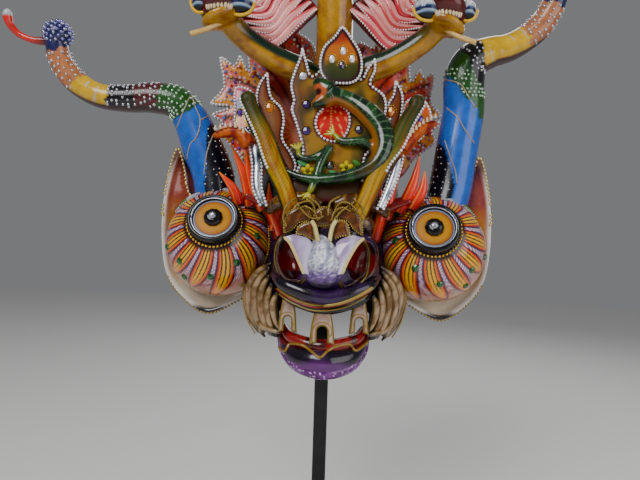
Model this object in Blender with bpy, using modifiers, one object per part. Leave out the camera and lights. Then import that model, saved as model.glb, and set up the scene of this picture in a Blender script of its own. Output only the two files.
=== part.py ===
"""Diablada devil mask on its square display post, modelled in metres with +Z up.

The mask looks along -Y. The origin is on the floor, under the middle of the base plate.
Sizes and places are in millimetres; heights of the mask are counted from its eye line.
"""

import math

import bmesh
import bpy
import numpy as np
from mathutils import Euler, Matrix, Vector

MM = 0.001

# Stand
EYE_HEIGHT = 400.0
BASE_SIDE = 260.0
BASE_THICKNESS = 12.0
BASE_EDGE = 2.0
POST_SIDE = 16.0
POST_EDGE = 1.0
POST_Y = 30.0
BAR_HEIGHT = 62.0
BAR_THICKNESS = 5.0
BAR_DEPTH = 16.0
BAR_LENGTH = 190.0

# Fits
GAP = 0.3
SEAT_GAP = 0.5
WELD = 0.05
WALL = 5.0

# Face stations: height, half width, front, back rim, sharpness of the cheek
FACE_STATIONS = [
    (-131, 22, -68, -10, 1.0),
    (-120, 40, -78, -2, 0.9),
    (-100, 60, -76, 6, 0.75),
    (-76, 75, -70, 12, 0.7),
    (-50, 81, -66, 22, 0.8),
    (-22, 84, -66, 36, 1.25),
    (12, 88, -63, 48, 1.4),
    (50, 90, -56, 54, 1.1),
    (84, 80, -46, 54, 1.0),
    (108, 56, -26, 52, 1.0),
    (119, 26, 2, 46, 1.0),
]
FACE_ARC_POINTS = 13
MOUTH_HALF_WIDTH = 50.0
MOUTH_HALF_HEIGHT = 22.0
MOUTH_HEIGHT = -86.0
MOUTH_FRONT = -120.0
MOUTH_CUT = 70.0
CAVITY_REACH = 40.0

# Snout, nostrils and lips
MUZZLE_CENTRE = (0, -60, -30)
MUZZLE_RADII = (56, 34, 33)
NOSE_BRIDGE = [(0, -60, 20, 11), (0, -78, 4, 15), (0, -92, -14, 19), (0, -90, -28, 17)]
NOSTRIL_CENTRE = (33, -80, -20)
NOSTRIL_RADII = (17, 17, 25)
NOSTRIL_HOLE_CENTRE = (35, -98, -21)
NOSTRIL_HOLE = (9, 20, 18)
NOSTRIL_TURN = math.radians(14)
UPPER_LIP = [(-52, -66, -37, 5), (-38, -86, -47, 7), (0, -93, -57, 7), (38, -86, -47, 7), (52, -66, -37, 5)]
UPPER_GUM = [(-47, -62, -52, 4), (-34, -77, -60, 6), (0, -84, -67, 6), (34, -77, -60, 6), (47, -62, -52, 4)]
LOWER_LIP = [
    (-38, -56, -107, 6), (-29, -71, -116, 12), (0, -82, -121, 15), (29, -71, -116, 12), (38, -56, -107, 6),
]
NOSE_TIP_CENTRE = (0, -91, -29)
NOSE_TIP_RADII = (18, 17, 12)
BROW_CENTRE = (29, -70, 20)
BROW_RADII = (19, 13, 11)
BROW_TURN = math.radians(14)
PETAL_CENTRE = (19, -82, 5)
PETAL_RADII = (10, 8, 12)
PETAL_TURN = math.radians(-30)

# Eyes: the lamp of each eye looks along its own azimuth and elevation
EYE_CENTRE = (121, 0, -7)
EYE_RADIUS = 61.0
EYE_BACK_GAP = 0.4
EYE_LOOK = {"left": (math.radians(2), math.radians(25)), "right": (math.radians(-9), math.radians(22))}
LAMP_SEAT = 55.0
COLLAR_RADIUS = 27.5
COLLAR_BORE = 22.0
COLLAR_HEIGHT = 11.0
COLLAR_CHAMFER = 1.5
IRIS_HEIGHT = 7.0
PUPIL_RADIUS = 10.0
PUPIL_HEIGHT = 6.0
STUD_RADIUS = 3.5
STUD_HEIGHT = 2.5

# Ears: a dish round the eye, open to the front
EAR_OUTLINE = [
    (175, 101), (184, 74), (190, 34), (190, -6), (184, -42), (167, -68), (137, -88),
    (106, -76), (76, -52), (66, 0), (76, 34), (120, 40), (154, 42), (163, 58), (167, 80),
]
EAR_CENTRE = (124, -4)
EAR_RINGS = (0.0, 0.6, 1.0)
EAR_EDGE_Y = 2.0
EAR_DEPTH = 26.0
EAR_WALL = 4.0

# Horns: x, depth, height, radius
HORN_LEFT = [
    (-129, 6, 44, 24), (-135, 9, 74, 24), (-147, 10, 102, 23.5), (-162, 8, 136, 20.5), (-178, 4, 154, 18.5),
    (-205, 1, 158, 17), (-235, -3, 155, 15), (-264, -7, 157, 13.5), (-289, -12, 171, 13),
    (-303, -16, 190, 12.5), (-307, -19, 208, 12), (-306, -20, 220, 11),
]
HORN_RIGHT = [
    (138, 6, 44, 24), (144, 9, 69, 24.5), (150, 10, 111, 24), (156, 9, 155, 23.5), (155, 6, 190, 23),
    (162, 3, 212, 20.5), (182, 0, 222, 17.5), (200, -4, 226, 15.5), (216, -8, 234, 14.5),
    (232, -12, 247, 14), (244, -16, 266, 13), (250, -19, 286, 12), (250, -20, 297, 11),
]
HORN_TIP_LEFT = [
    (-308, -20, 213, 5), (-323, -20, 212, 4.5), (-336, -22, 213, 3.5), (-348, -24, 218, 3.5),
    (-355, -27, 226, 4), (-357, -29, 233, 5), (-357, -30, 239, 4.5), (-357, -30, 242, 2),
]
HORN_TIP_RIGHT = [
    (252, -20, 290, 5), (267, -20, 289, 4.5), (280, -22, 290, 3.5), (292, -24, 295, 3.5), (299, -27, 303, 4),
    (301, -29, 310, 5), (301, -30, 316, 4.5), (301, -30, 319, 2),
]
HORN_KNOB_RADIUS = 14.5

# Forehead ornament: plates on one leaning plane
PANEL_HEIGHT = 50.0
PANEL_FRONT = -62.0
PANEL_LEAN = 0.25
PANEL_THICKNESS = 8.0
PLAQUE_THICKNESS = 6.0
LEAF_THICKNESS = 6.0
PANEL_OUTLINE = [
    (-30, 40), (-41, 51), (-34, 72), (-29, 93), (-37, 122), (-43, 139), (-41, 150), (-45, 167), (-41, 186),
    (-37, 198), (-33, 213), (-27, 196), (-22, 180), (-14, 186), (0, 208), (20, 208), (31, 178), (38, 190),
    (48, 203), (49, 187), (44, 172), (58, 160), (61, 142), (54, 120), (45, 97), (38, 86), (36, 53), (28, 40),
]
FLAME_OUTLINE = [
    (11, 238), (1, 225), (-9, 214), (-13, 202), (-14, 189), (-10, 176), (0, 169), (21, 169), (31, 177),
    (34, 190), (32, 205), (25, 219),
]
NICHE_OUTLINE = [
    (1, 147), (-11, 136), (-14, 123), (-8, 111), (3, 106), (13, 110), (19, 123), (18, 137), (9, 145),
]
NICHE_DEPTH = 3.0
NICHE_CUT = 20.0
LEAF_SETBACK = 6.0
LAPPET_SETBACK = 20.0
SIDE_LEAF_LEFT = [
    (-71, 183), (-80, 169), (-82, 150), (-76, 134), (-60, 96), (-40, 66), (-34, 78), (-40, 92), (-50, 108),
    (-49, 127), (-53, 143), (-64, 154), (-68, 168),
]
SIDE_LEAF_RIGHT = [
    (71, 178), (79, 164), (79, 144), (74, 125), (58, 92), (42, 66), (38, 78), (46, 92), (58, 116), (64, 134),
    (62, 150), (68, 162),
]

# Crest wings: flame tongues behind the ornament
CREST_Y = 40.0
CREST_THICKNESS = 5.0
CREST_OUTLINE = [
    (-52, 74), (-88, 76), (-112, 104), (-138, 128), (-131, 140), (-145, 150), (-122, 160), (-147, 163),
    (-131, 185), (-137, 221), (-119, 211), (-112, 224), (-101, 204), (-102, 228), (-86, 219), (-70, 247),
    (-60, 263), (-48, 258), (-38, 252), (-22, 238), (-14, 200), (-14, 130),
]
CREST_OUTLINE_RIGHT = [
    (52, 74), (86, 76), (108, 104), (132, 124), (127, 137), (140, 148), (118, 153), (139, 156),
    (124, 174), (128, 202), (124, 210), (115, 203), (108, 214), (98, 198), (95, 226), (84, 220), (70, 238),
    (58, 246), (50, 238), (36, 244), (24, 236), (16, 200), (16, 130),
]

# Serpents: x, depth, height, radius
CENTRE_NECK = [(2, 14, 96, 20), (2, 12, 150, 21), (3, 8, 210, 21), (2, 0, 262, 21), (2, -8, 300, 19)]
CENTRE_HEAD = (2, -22, 316)
CENTRE_HEAD_RADII = (27, 34, 24)
CENTRE_EYES = {"left": ((-19, -14, 8), (15, 13, 13)), "right": ((19, -14, 8), (15, 13, 13))}
SIDE_NECK_LEFT = [
    (-14, 2, 184, 15), (-36, -8, 192, 15), (-70, -16, 205, 14), (-99, -26, 222, 13), (-116, -38, 238, 13),
]
SIDE_HEAD_LEFT = (-119, -45, 246)
SIDE_HEAD_RADII = (25, 22, 20)
SIDE_HEAD_TURN = math.radians(-20)
SIDE_EYES = {"inner": ((21, -8, -1), (15, 13, 13)), "outer": ((-21, -6, 0), (10, 12, 12))}
TONGUE_LEFT = [(-118, -52, 226, 2.6), (-132, -58, 216, 2.6), (-148, -62, 209, 2.6)]
MANE_THICKNESS = 5.0
MANE_OUTLINE = [
    (-98, 222), (-80, 219), (-62, 219), (-46, 232), (-30, 248), (-18, 262), (-28, 276), (-44, 284),
    (-58, 276), (-66, 290), (-82, 286), (-92, 272), (-104, 262), (-112, 246),
]
MANE_Y = -6.0

# Creatures in front of the ornament: x, lift off the leaning plane, height, radius
LIZARD_BODY = [
    (-16, 9, 156, 6), (-4, 10, 157, 10), (10, 9, 153, 9), (26, 9, 146, 10), (42, 10, 133, 12),
    (54, 10, 116, 12), (56, 10, 96, 11), (45, 10, 78, 9), (22, 10, 67, 7), (-4, 9, 62, 6),
    (-28, 7, 64, 4.5), (-46, 6, 71, 3),
]
LIZARD_LEGS = [
    [(-13, 8, 62, 5), (-9, 8, 78, 5), (-2, 7, 93, 4.5), (1, 7, 98, 4)],
    [(2, 7, 97, 4.5), (-13, 6, 87, 4), (-25, 6, 84, 3.5), (-31, 6, 87, 3), (-33, 5, 94, 2.5)],
    [(50, 8, 96, 6), (34, 8, 104, 5), (14, 6, 104, 4.5), (4, 6, 112, 2.5)],
    [(-12, 8, 64, 5), (-16, 8, 55, 4), (-20, 8, 47, 2.5)],
]
DRAGON_NECK_LEFT = [
    (-34, 4, 22, 9), (-44, 5, 50, 10), (-58, 5, 78, 11), (-68, 5, 104, 11), (-80, 5, 128, 10),
    (-88, 5, 144, 8),
]
DRAGON_NECK_RIGHT = [
    (30, 4, 22, 9), (42, 5, 50, 10), (54, 5, 78, 11), (68, 5, 98, 11), (80, 5, 124, 10), (92, 5, 146, 8),
]
DRAGON_JAW_LEFT = [(-84, 7, 96, 8), (-94, 8, 108, 7), (-106, 8, 110, 6), (-122, 8, 105, 3)]
DRAGON_JAW_RIGHT = [(76, 7, 96, 8), (88, 8, 112, 7), (100, 8, 122, 6), (112, 8, 128, 3)]
BAND_LEFT = [(-66, 0, 34, 4), (-73, 0, 52, 5.5), (-75, 0, 78, 6), (-80, 0, 99, 6), (-90, 0, 116, 4)]
BAND_RIGHT = [(54, 0, 34, 4), (64, 0, 58, 5.5), (71, 0, 82, 6), (75, 0, 107, 6), (88, 0, 124, 4)]
LAPPET_LEFT = [(-108, 169), (-88, 165), (-79, 139), (-90, 116), (-98, 112), (-106, 124), (-107, 141)]
LAPPET_RIGHT = [(84, 158), (100, 166), (112, 150), (112, 132), (104, 118), (96, 112), (90, 124), (80, 140)]
LAPPET_THICKNESS = 5.0

# Flame spikes round the brow: root and tip of each, x and height
SPIKE_Y = -34.0
SPIKE_LEAN = 5.0
SPIKE_RADIUS = 6.0
SPIKE_TIP = 1.2
SPIKES_LEFT = [
    ((-58, 8), (-48, 78)), ((-70, 30), (-90, 98)), ((-84, 34), (-106, 100)), ((-50, 4), (-64, 60)),
    ((-96, 36), (-118, 70)),
]
SPIKES_RIGHT = [
    ((52, 2), (56, 64)), ((64, 24), (82, 92)), ((78, 32), (98, 96)), ((46, -6), (38, 20)),
    ((92, 36), (104, 78)),
]
SPIKE_ROOT_LEFT = [(-52, -28, 0, 6), (-64, -32, 34, 8), (-90, -34, 46, 6)]

# Teeth and cheek tusks
TOOTH_THICKNESS = 7.0
TEETH = {
    "tooth_left": (-37, -78, -61, 19, 33),
    "tooth_centre": (-2, -86, -69, 26, 35),
    "tooth_right": (35, -78, -61, 20, 33),
}
TUSK_STATIONS = [
    (-36, 60, -54, 66, -42, 1.5), (-50, 62, -56, 78, -36, 5), (-68, 62, -57, 82, -30, 6),
    (-84, 58, -58, 75, -34, 6), (-99, 52, -56, 63, -42, 3),
]
TUSK_STRANDS = 4
TUSK_ROOT = 16.0

collection = None
cutters = None
finishes = {}


def clear_scene():
    """Take every object out of the scene and make the two collections."""
    global collection, cutters
    for thing in list(bpy.data.objects):
        bpy.data.objects.remove(thing, do_unlink=True)
    collection = bpy.data.collections.new("diablada_mask")
    cutters = bpy.data.collections.new("cutters")
    bpy.context.scene.collection.children.link(collection)
    bpy.context.scene.collection.children.link(cutters)


def finish(name, colour, roughness, metallic=0.0):
    """A Principled material, made once for each name."""
    if name not in finishes:
        material = bpy.data.materials.new(name)
        material.use_nodes = True
        shader = material.node_tree.nodes["Principled BSDF"]
        shader.inputs["Base Color"].default_value = (*colour, 1.0)
        shader.inputs["Roughness"].default_value = roughness
        shader.inputs["Metallic"].default_value = metallic
        finishes[name] = material
    return finishes[name]


def place(x, y, z):
    """A point of the mask, in metres above the floor."""
    return Vector((x, y, z + EYE_HEIGHT)) * MM


def panel_y(z):
    """Depth of the leaning front of the forehead ornament at a height."""
    return PANEL_FRONT + (z - PANEL_HEIGHT) * PANEL_LEAN


def smooth(points, steps, closed=False):
    """Rows on a Catmull-Rom curve through the given rows."""
    rows = np.array(points, float)
    if closed:
        rows = np.vstack([rows[-1], rows, rows[0], rows[1]])
    else:
        rows = np.vstack([2 * rows[0] - rows[1], rows, 2 * rows[-1] - rows[-2]])
    out = []
    for i in range(1, len(rows) - 2):
        a, b, c, d = rows[i - 1:i + 3]
        for t in np.arange(steps) / steps:
            out.append(0.5 * (2 * b + (c - a) * t + (2 * a - 5 * b + 4 * c - d) * t ** 2
                              + (3 * b - a - 3 * c + d) * t ** 3))
    if not closed:
        out.append(rows[-2])
    return np.array(out)


def add_mesh(name, mesh, material=None, into=None):
    """A new object from a mesh, in the parts' collection unless told otherwise."""
    thing = bpy.data.objects.new(name, mesh)
    (into or collection).objects.link(thing)
    if material:
        mesh.materials.clear()
        mesh.materials.append(material)
    return thing


def mesh_from(bm, name):
    """Turn a bmesh into a mesh of triangles that all point out, so that every cut reads it alike."""
    bmesh.ops.remove_doubles(bm, verts=bm.verts, dist=0.02 * MM)
    bmesh.ops.recalc_face_normals(bm, faces=bm.faces)
    bmesh.ops.triangulate(bm, faces=bm.faces)
    mesh = bpy.data.meshes.new(name)
    bm.to_mesh(mesh)
    bm.free()
    return mesh


def baked(curve_object):
    """The curve's own closed mesh; the curve itself goes."""
    depsgraph = bpy.context.evaluated_depsgraph_get()
    mesh = bpy.data.meshes.new_from_object(curve_object.evaluated_get(depsgraph))
    bm = bmesh.new()
    bm.from_mesh(mesh)
    bpy.data.objects.remove(curve_object, do_unlink=True)
    return bm


def tube(name, rows, steps=1, resolution=1, material=None):
    """A round body along a path of x, depth, height and radius."""
    rows = smooth(rows, steps)
    curve = bpy.data.curves.new(name, "CURVE")
    curve.dimensions = "3D"
    curve.bevel_depth = MM
    curve.bevel_resolution = resolution
    curve.use_fill_caps = True
    spline = curve.splines.new("POLY")
    spline.points.add(len(rows) - 1)
    for point, (x, y, z, radius) in zip(spline.points, rows):
        point.co = (*place(x, y, z), 1.0)
        point.radius = radius
    path = bpy.data.objects.new(name, curve)
    collection.objects.link(path)
    return add_mesh(name, mesh_from(baked(path), name), material)


def on_panel(rows):
    """Rows of x, lift, height and radius, moved on to the leaning plane."""
    return [(x, panel_y(z) - lift, z, radius) for x, lift, z, radius in rows]


def plate(name, outline, thickness, front, lean=0.0, material=None, into=None):
    """A flat plate cut to an outline of x and height, its front at a depth."""
    curve = bpy.data.curves.new(name, "CURVE")
    curve.dimensions = "2D"
    curve.fill_mode = "BOTH"
    curve.extrude = thickness * MM / 2
    spline = curve.splines.new("POLY")
    spline.points.add(len(outline) - 1)
    spline.use_cyclic_u = True
    for point, (x, z) in zip(spline.points, outline):
        point.co = (x * MM, z * MM, 0.0, 1.0)
    shape = bpy.data.objects.new(name, curve)
    collection.objects.link(shape)
    bm = baked(shape)
    for vertex in bm.verts:
        x, z, w = vertex.co / MM
        depth = front + (z - PANEL_HEIGHT) * lean + thickness / 2 - w
        vertex.co = place(x, depth, z)
    return add_mesh(name, mesh_from(bm, name), material, into)


def ball(name, centre, radii, segments, rings, turn=(0, 0, 0), material=None):
    """An ellipsoid with its poles up and down before it is turned."""
    bm = bmesh.new()
    bmesh.ops.create_uvsphere(bm, u_segments=segments, v_segments=rings, radius=MM)
    turning = Euler(turn).to_matrix().to_4x4()
    bm.transform(Matrix.Translation(place(*centre)) @ turning @ Matrix.Diagonal((*radii, 1.0)))
    return add_mesh(name, mesh_from(bm, name), material)


def block(name, low, high, edge=0.0, material=None, into=None):
    """A box between two corners, in millimetres above the floor, with rounded edges if asked."""
    bpy.ops.mesh.primitive_cube_add(size=1.0)
    thing = bpy.context.active_object
    thing.name = name
    low, high = Vector(low) * MM, Vector(high) * MM
    thing.data.transform(Matrix.Translation((low + high) / 2) @ Matrix.Diagonal((*(high - low), 1.0)))
    for owner in list(thing.users_collection):
        owner.objects.unlink(thing)
    (into or collection).objects.link(thing)
    if edge:
        bevel = thing.modifiers.new("edges", "BEVEL")
        bevel.width = edge * MM
        bevel.segments = 1
    if material:
        thing.data.materials.append(material)
    return thing


def apply_modifiers(thing):
    """Make the object's mesh what its modifiers give."""
    depsgraph = bpy.context.evaluated_depsgraph_get()
    mesh = bpy.data.meshes.new_from_object(thing.evaluated_get(depsgraph))
    thing.modifiers.clear()
    thing.data = mesh


def boolean(target, tool, operation, keep_tool=False, solver="EXACT"):
    """Join the tool to the target or cut the target with it."""
    modifier = target.modifiers.new("boolean", "BOOLEAN")
    modifier.operation = operation
    modifier.object = tool
    modifier.solver = solver
    bpy.context.view_layer.update()
    apply_modifiers(target)
    if not keep_tool:
        bpy.data.objects.remove(tool, do_unlink=True)


def tidy(thing):
    """Weld what the boolean left and keep the main body, without cut-off slivers."""
    bm = bmesh.new()
    bm.from_mesh(thing.data)
    bmesh.ops.remove_doubles(bm, verts=bm.verts, dist=WELD * MM)
    bmesh.ops.dissolve_degenerate(bm, edges=bm.edges, dist=WELD * MM)
    rims = [edge for edge in bm.edges if edge.is_boundary]
    bmesh.ops.holes_fill(bm, edges=rims, sides=0)
    islands = []
    unseen = set(bm.faces)
    while unseen:
        stack = [unseen.pop()]
        island = set(stack)
        while stack:
            for edge in stack.pop().edges:
                for face in edge.link_faces:
                    if face not in island:
                        island.add(face)
                        stack.append(face)
        unseen -= island
        islands.append(island)
    islands.sort(key=lambda island: sum(face.calc_area() for face in island))
    for island in islands[:-1]:
        bmesh.ops.delete(bm, geom=list(island), context="FACES")
    bmesh.ops.triangulate(bm, faces=bm.faces)
    bm.to_mesh(thing.data)
    bm.free()


def grown(thing, by=SEAT_GAP):
    """A copy swollen by the seating gap, as a cutter."""
    bm = bmesh.new()
    bm.from_mesh(thing.data)
    bmesh.ops.triangulate(bm, faces=bm.faces)
    bm.normal_update()
    for vertex in bm.verts:
        vertex.co += vertex.normal * by * MM
    mesh = bpy.data.meshes.new("cutter")
    bm.to_mesh(mesh)
    bm.free()
    cutter = add_mesh("cutter", mesh, None, cutters)
    cutter.hide_render = True
    cutter.display_type = "WIRE"
    return cutter


def corners(thing):
    """Lowest and highest corner of an object's mesh."""
    points = np.array([vertex.co for vertex in thing.data.vertices])
    return points.min(axis=0), points.max(axis=0)


def seat(thing, *neighbours, solver="EXACT"):
    """Cut a piece back from each neighbour that it would run into."""
    for neighbour in neighbours:
        low, high = corners(thing)
        other_low, other_high = corners(neighbour)
        if np.all(low < other_high + MM) and np.all(other_low < high + MM):
            boolean(thing, grown(neighbour), "DIFFERENCE", solver=solver)
            tidy(thing)
    return thing


def fuse(name, *things):
    """Join pieces that are cast as one."""
    first = things[0]
    for thing in things[1:]:
        boolean(first, thing, "UNION")
    tidy(first)
    first.name = name
    return first


def mirrored(rows):
    """The same rows on the other side of the face."""
    return [(-row[0], *row[1:]) for row in rows]


def face_ring(station, inset=0.0):
    """One level of the face: a front arc from rim to rim."""
    height, half_width, front, rim, sharpness = station
    ring = []
    for i in range(FACE_ARC_POINTS):
        angle = math.pi * (i / (FACE_ARC_POINTS - 1) - 0.5)
        x = (half_width - inset) * math.sin(angle)
        depth = (rim - front - inset) * max(math.cos(angle), 0.0) ** sharpness
        ring.append((x, rim - depth, height))
    return ring


def loft(name, rings, material=None):
    """A closed body through rings of equal length."""
    bm = bmesh.new()
    levels = [[bm.verts.new(place(*point)) for point in ring] for ring in rings]
    count = len(rings[0])
    for lower, upper in zip(levels, levels[1:]):
        for i in range(count):
            j = (i + 1) % count
            bm.faces.new((lower[i], lower[j], upper[j], upper[i]))
    bm.faces.new(levels[0])
    bm.faces.new(levels[-1])
    return add_mesh(name, mesh_from(bm, name), material)


def face_block():
    """The face as a solid block: skull, muzzle, nose and brow lobes."""
    body = loft("face_block", [face_ring(station) for station in FACE_STATIONS])
    boolean(body, ball("muzzle", MUZZLE_CENTRE, MUZZLE_RADII, 12, 7), "UNION")
    boolean(body, tube("bridge", NOSE_BRIDGE), "UNION")
    boolean(body, ball("nose_tip", NOSE_TIP_CENTRE, NOSE_TIP_RADII, 8, 6), "UNION")
    lobes = [
        (NOSTRIL_CENTRE, NOSTRIL_RADII, NOSTRIL_TURN, 10),
        (BROW_CENTRE, BROW_RADII, BROW_TURN, 8),
        (PETAL_CENTRE, PETAL_RADII, PETAL_TURN, 6),
    ]
    for side in (-1, 1):
        for (x, y, z), radii, turn, segments in lobes:
            lobe = ball("lobe", (side * x, y, z), radii, segments, 6, (0, side * turn, 0))
            boolean(body, lobe, "UNION")
    tidy(body)
    return body


def cavity():
    """The room inside the face, open at the back."""
    rings = []
    for height, half_width, front, rim, sharpness in FACE_STATIONS[1:-1]:
        ring = face_ring((height, half_width - WALL, front + WALL, rim, sharpness))
        rings.append(ring + [(x, y + CAVITY_REACH, z) for x, y, z in (ring[-1], ring[0])])
    return loft("cavity", rings)


def face_shell(block_form):
    """The hollow mask: block less cavity, mouth and nostrils, with its lips."""
    shell = add_mesh("face_shell", block_form.data.copy(), finish("face_purple", (0.045, 0.018, 0.06), 0.18))
    boolean(shell, cavity(), "DIFFERENCE")
    outline = rounded(MOUTH_HALF_WIDTH, MOUTH_HALF_HEIGHT, 0, MOUTH_HEIGHT)
    boolean(shell, plate("mouth", outline, MOUTH_CUT, MOUTH_FRONT), "DIFFERENCE")
    for side in (-1, 1):
        x, y, z = NOSTRIL_HOLE_CENTRE
        hole = ball("hole", (side * x, y, z), NOSTRIL_HOLE, 8, 6, (0, side * NOSTRIL_TURN, 0))
        boolean(shell, hole, "DIFFERENCE")
    for rows in (UPPER_LIP, UPPER_GUM, LOWER_LIP):
        boolean(shell, tube("lip", rows, 2), "UNION")
    tidy(shell)
    return shell


def rounded(half_width, half_height, x, z):
    """A rounded oblong outline."""
    points = []
    count, power = 16, 0.8
    for i in range(count):
        angle = 2 * math.pi * i / count
        c, s = math.cos(angle), math.sin(angle)
        points.append((x + half_width * math.copysign(abs(c) ** power, c),
                       z + half_height * math.copysign(abs(s) ** power, s)))
    return points


def stand():
    """Base plate, square post and the bar that carries the mask inside; the bar is given back."""
    black = finish("stand_black", (0.012, 0.012, 0.014), 0.5, 0.6)
    half = BASE_SIDE / 2
    block("stand_base", (-half, -half, 0), (half, half, BASE_THICKNESS), BASE_EDGE, black)
    top = EYE_HEIGHT + BAR_HEIGHT
    side = POST_SIDE / 2
    block("stand_post", (-side, POST_Y - side, BASE_THICKNESS + GAP), (side, POST_Y + side, top - GAP),
          POST_EDGE, black)
    return block("stand_bar", (-BAR_LENGTH / 2, POST_Y - BAR_DEPTH / 2, top),
                 (BAR_LENGTH / 2, POST_Y + BAR_DEPTH / 2, top + BAR_THICKNESS), 0.0, black)


def ear(side, *carriers):
    """A dish behind the eye, open to the front: a sheet thickened straight back."""
    sign = -1 if side == "left" else 1
    outline = smooth(EAR_OUTLINE, 2, closed=True)
    cx, cz = EAR_CENTRE
    bm = bmesh.new()
    rings = []
    for share in EAR_RINGS:
        y = EAR_EDGE_Y + EAR_DEPTH * (1 - share ** 2)
        count = 1 if share == 0.0 else len(outline)
        rings.append([bm.verts.new(place(sign * (cx + (x - cx) * share), y, cz + (z - cz) * share))
                      for x, z in outline[:count]])
    count = len(outline)
    for i in range(count):
        j = (i + 1) % count
        bm.faces.new((rings[0][0], rings[1][i], rings[1][j]))
        for inner, outer in zip(rings[1:], rings[2:]):
            bm.faces.new((inner[i], outer[i], outer[j], inner[j]))
    moved = bmesh.ops.extrude_face_region(bm, geom=bm.faces[:])["geom"]
    verts = [item for item in moved if isinstance(item, bmesh.types.BMVert)]
    bmesh.ops.translate(bm, verts=verts, vec=(0, EAR_WALL * MM, 0))
    dish = add_mesh("ear_" + side, mesh_from(bm, "ear_" + side), finish("ear_pearl", (0.78, 0.72, 0.62), 0.3))
    return seat(dish, *carriers, solver="MANIFOLD")


def horn(name, rows, tip, *carriers):
    """A tapering horn with a studded knob and a thin curled tip."""
    body = tube(name, rows, 1, 2, finish("horn_blue", (0.05, 0.2, 0.55), 0.25))
    knob = ball("knob", rows[-1][:3], (HORN_KNOB_RADIUS,) * 3, 8, 6)
    fuse(name, body, knob, tube("tip", tip))
    return seat(body, *carriers, solver="MANIFOLD")


def eye_axis(side):
    """Centre of the eyeball and the direction in which its lamp looks."""
    azimuth, elevation = EYE_LOOK[side]
    sign = -1 if side == "left" else 1
    x, y, z = EYE_CENTRE
    direction = Vector((math.sin(azimuth) * math.cos(elevation), -math.cos(azimuth) * math.cos(elevation),
                        math.sin(elevation)))
    return place(sign * x, y, z), direction


def looking(point, direction):
    """The placing of a piece turned about its own Z, moved to a point and aimed along a direction."""
    return Matrix.Translation(point) @ direction.to_track_quat("Z", "Y").to_matrix().to_4x4()


def turned(name, profile, side, distance, segments, material):
    """A turned piece of the eye's lamp: radius and height from the seat outwards."""
    mesh = bpy.data.meshes.new(name)
    points = [(radius * MM, 0.0, height * MM) for radius, height in profile]
    edges = [(i, i + 1) for i in range(len(points) - 1)]
    if profile[0][0] > 0:
        edges.append((len(points) - 1, 0))
    mesh.from_pydata(points, edges, [])
    thing = add_mesh(name, mesh, material)
    screw = thing.modifiers.new("turn", "SCREW")
    screw.steps = segments
    screw.render_steps = segments
    screw.use_merge_vertices = True
    screw.merge_threshold = WELD * MM / 5
    centre, direction = eye_axis(side)
    apply_modifiers(thing)
    bm = bmesh.new()
    bm.from_mesh(thing.data)
    bm.transform(looking(centre + direction * distance * MM, direction))
    bmesh.ops.recalc_face_normals(bm, faces=bm.faces)
    bm.to_mesh(thing.data)
    bm.free()
    return thing


def eye(side, block_form):
    """Eyeball with a flat seat, and its lamp: collar, disc and pupil."""
    sign = -1 if side == "left" else 1
    x, y, z = EYE_CENTRE
    eyeball = ball("eyeball_" + side, (sign * x, y, z), (EYE_RADIUS,) * 3, 16, 10, (math.pi / 2, 0, 0),
                   finish("eye_cream", (0.75, 0.5, 0.25), 0.25))
    behind = EAR_EDGE_Y - EYE_BACK_GAP
    reach = EYE_RADIUS * 1.5
    middle = z + EYE_HEIGHT
    back = block("back", (sign * x - reach, behind, middle - reach),
                 (sign * x + reach, behind + reach, middle + reach), 0.0, None, cutters)
    boolean(eyeball, back, "DIFFERENCE")
    centre, direction = eye_axis(side)
    seat_radius = (COLLAR_RADIUS + GAP) * MM
    bm = bmesh.new()
    bmesh.ops.create_cone(bm, cap_ends=True, segments=16, radius1=seat_radius, radius2=seat_radius,
                          depth=2 * (EYE_RADIUS - LAMP_SEAT) * MM)
    bm.transform(looking(centre + direction * EYE_RADIUS * MM, direction))
    boolean(eyeball, add_mesh("lamp_seat", mesh_from(bm, "lamp_seat"), None, cutters), "DIFFERENCE")
    tidy(eyeball)
    seat(eyeball, block_form)
    base = LAMP_SEAT + GAP
    collar = [(COLLAR_BORE, COLLAR_HEIGHT), (COLLAR_RADIUS - COLLAR_CHAMFER, COLLAR_HEIGHT),
              (COLLAR_RADIUS, COLLAR_HEIGHT - COLLAR_CHAMFER), (COLLAR_RADIUS, 0), (COLLAR_BORE, 0)]
    turned("eye_collar_" + side, collar, side, base, 14, finish("collar_black", (0.015, 0.015, 0.018), 0.25))
    disc = COLLAR_BORE - GAP
    turned("eye_disc_" + side, [(0, IRIS_HEIGHT), (disc, IRIS_HEIGHT), (disc, 0), (0, 0)], side, base, 14,
           finish("iris_yellow", (0.85, 0.42, 0.02), 0.3))
    pupil = [(0, PUPIL_HEIGHT + STUD_HEIGHT), (STUD_RADIUS, PUPIL_HEIGHT + 0.6 * STUD_HEIGHT),
             (STUD_RADIUS, PUPIL_HEIGHT), (PUPIL_RADIUS * 0.7, PUPIL_HEIGHT * 0.85),
             (PUPIL_RADIUS, PUPIL_HEIGHT * 0.3), (PUPIL_RADIUS, 0), (0, 0)]
    turned("pupil_" + side, pupil, side, base + IRIS_HEIGHT + GAP, 8,
           finish("pupil_black", (0.01, 0.01, 0.012), 0.15))
    return eyeball


def serpent(name, neck_rows, head, radii, turn, eyes, carriers):
    """Neck and head of one serpent, with its glass eyes."""
    neck = tube(name, neck_rows, 1, 1, finish("serpent_ochre", (0.72, 0.42, 0.03), 0.3))
    made = [seat(fuse(name, neck, ball("skull", head, radii, 10, 6, (0, turn, 0))), *carriers)]
    for eye_name, (offset, eye_radii) in eyes.items():
        centre = tuple(a + b for a, b in zip(head, offset))
        bulb = ball(name + "_eye_" + eye_name, centre, eye_radii, 8, 5, (0, 0, 0),
                    finish("serpent_eye", (0.75, 0.77, 0.8), 0.1))
        made.append(seat(bulb, *made, solver="MANIFOLD"))
    return made


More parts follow.
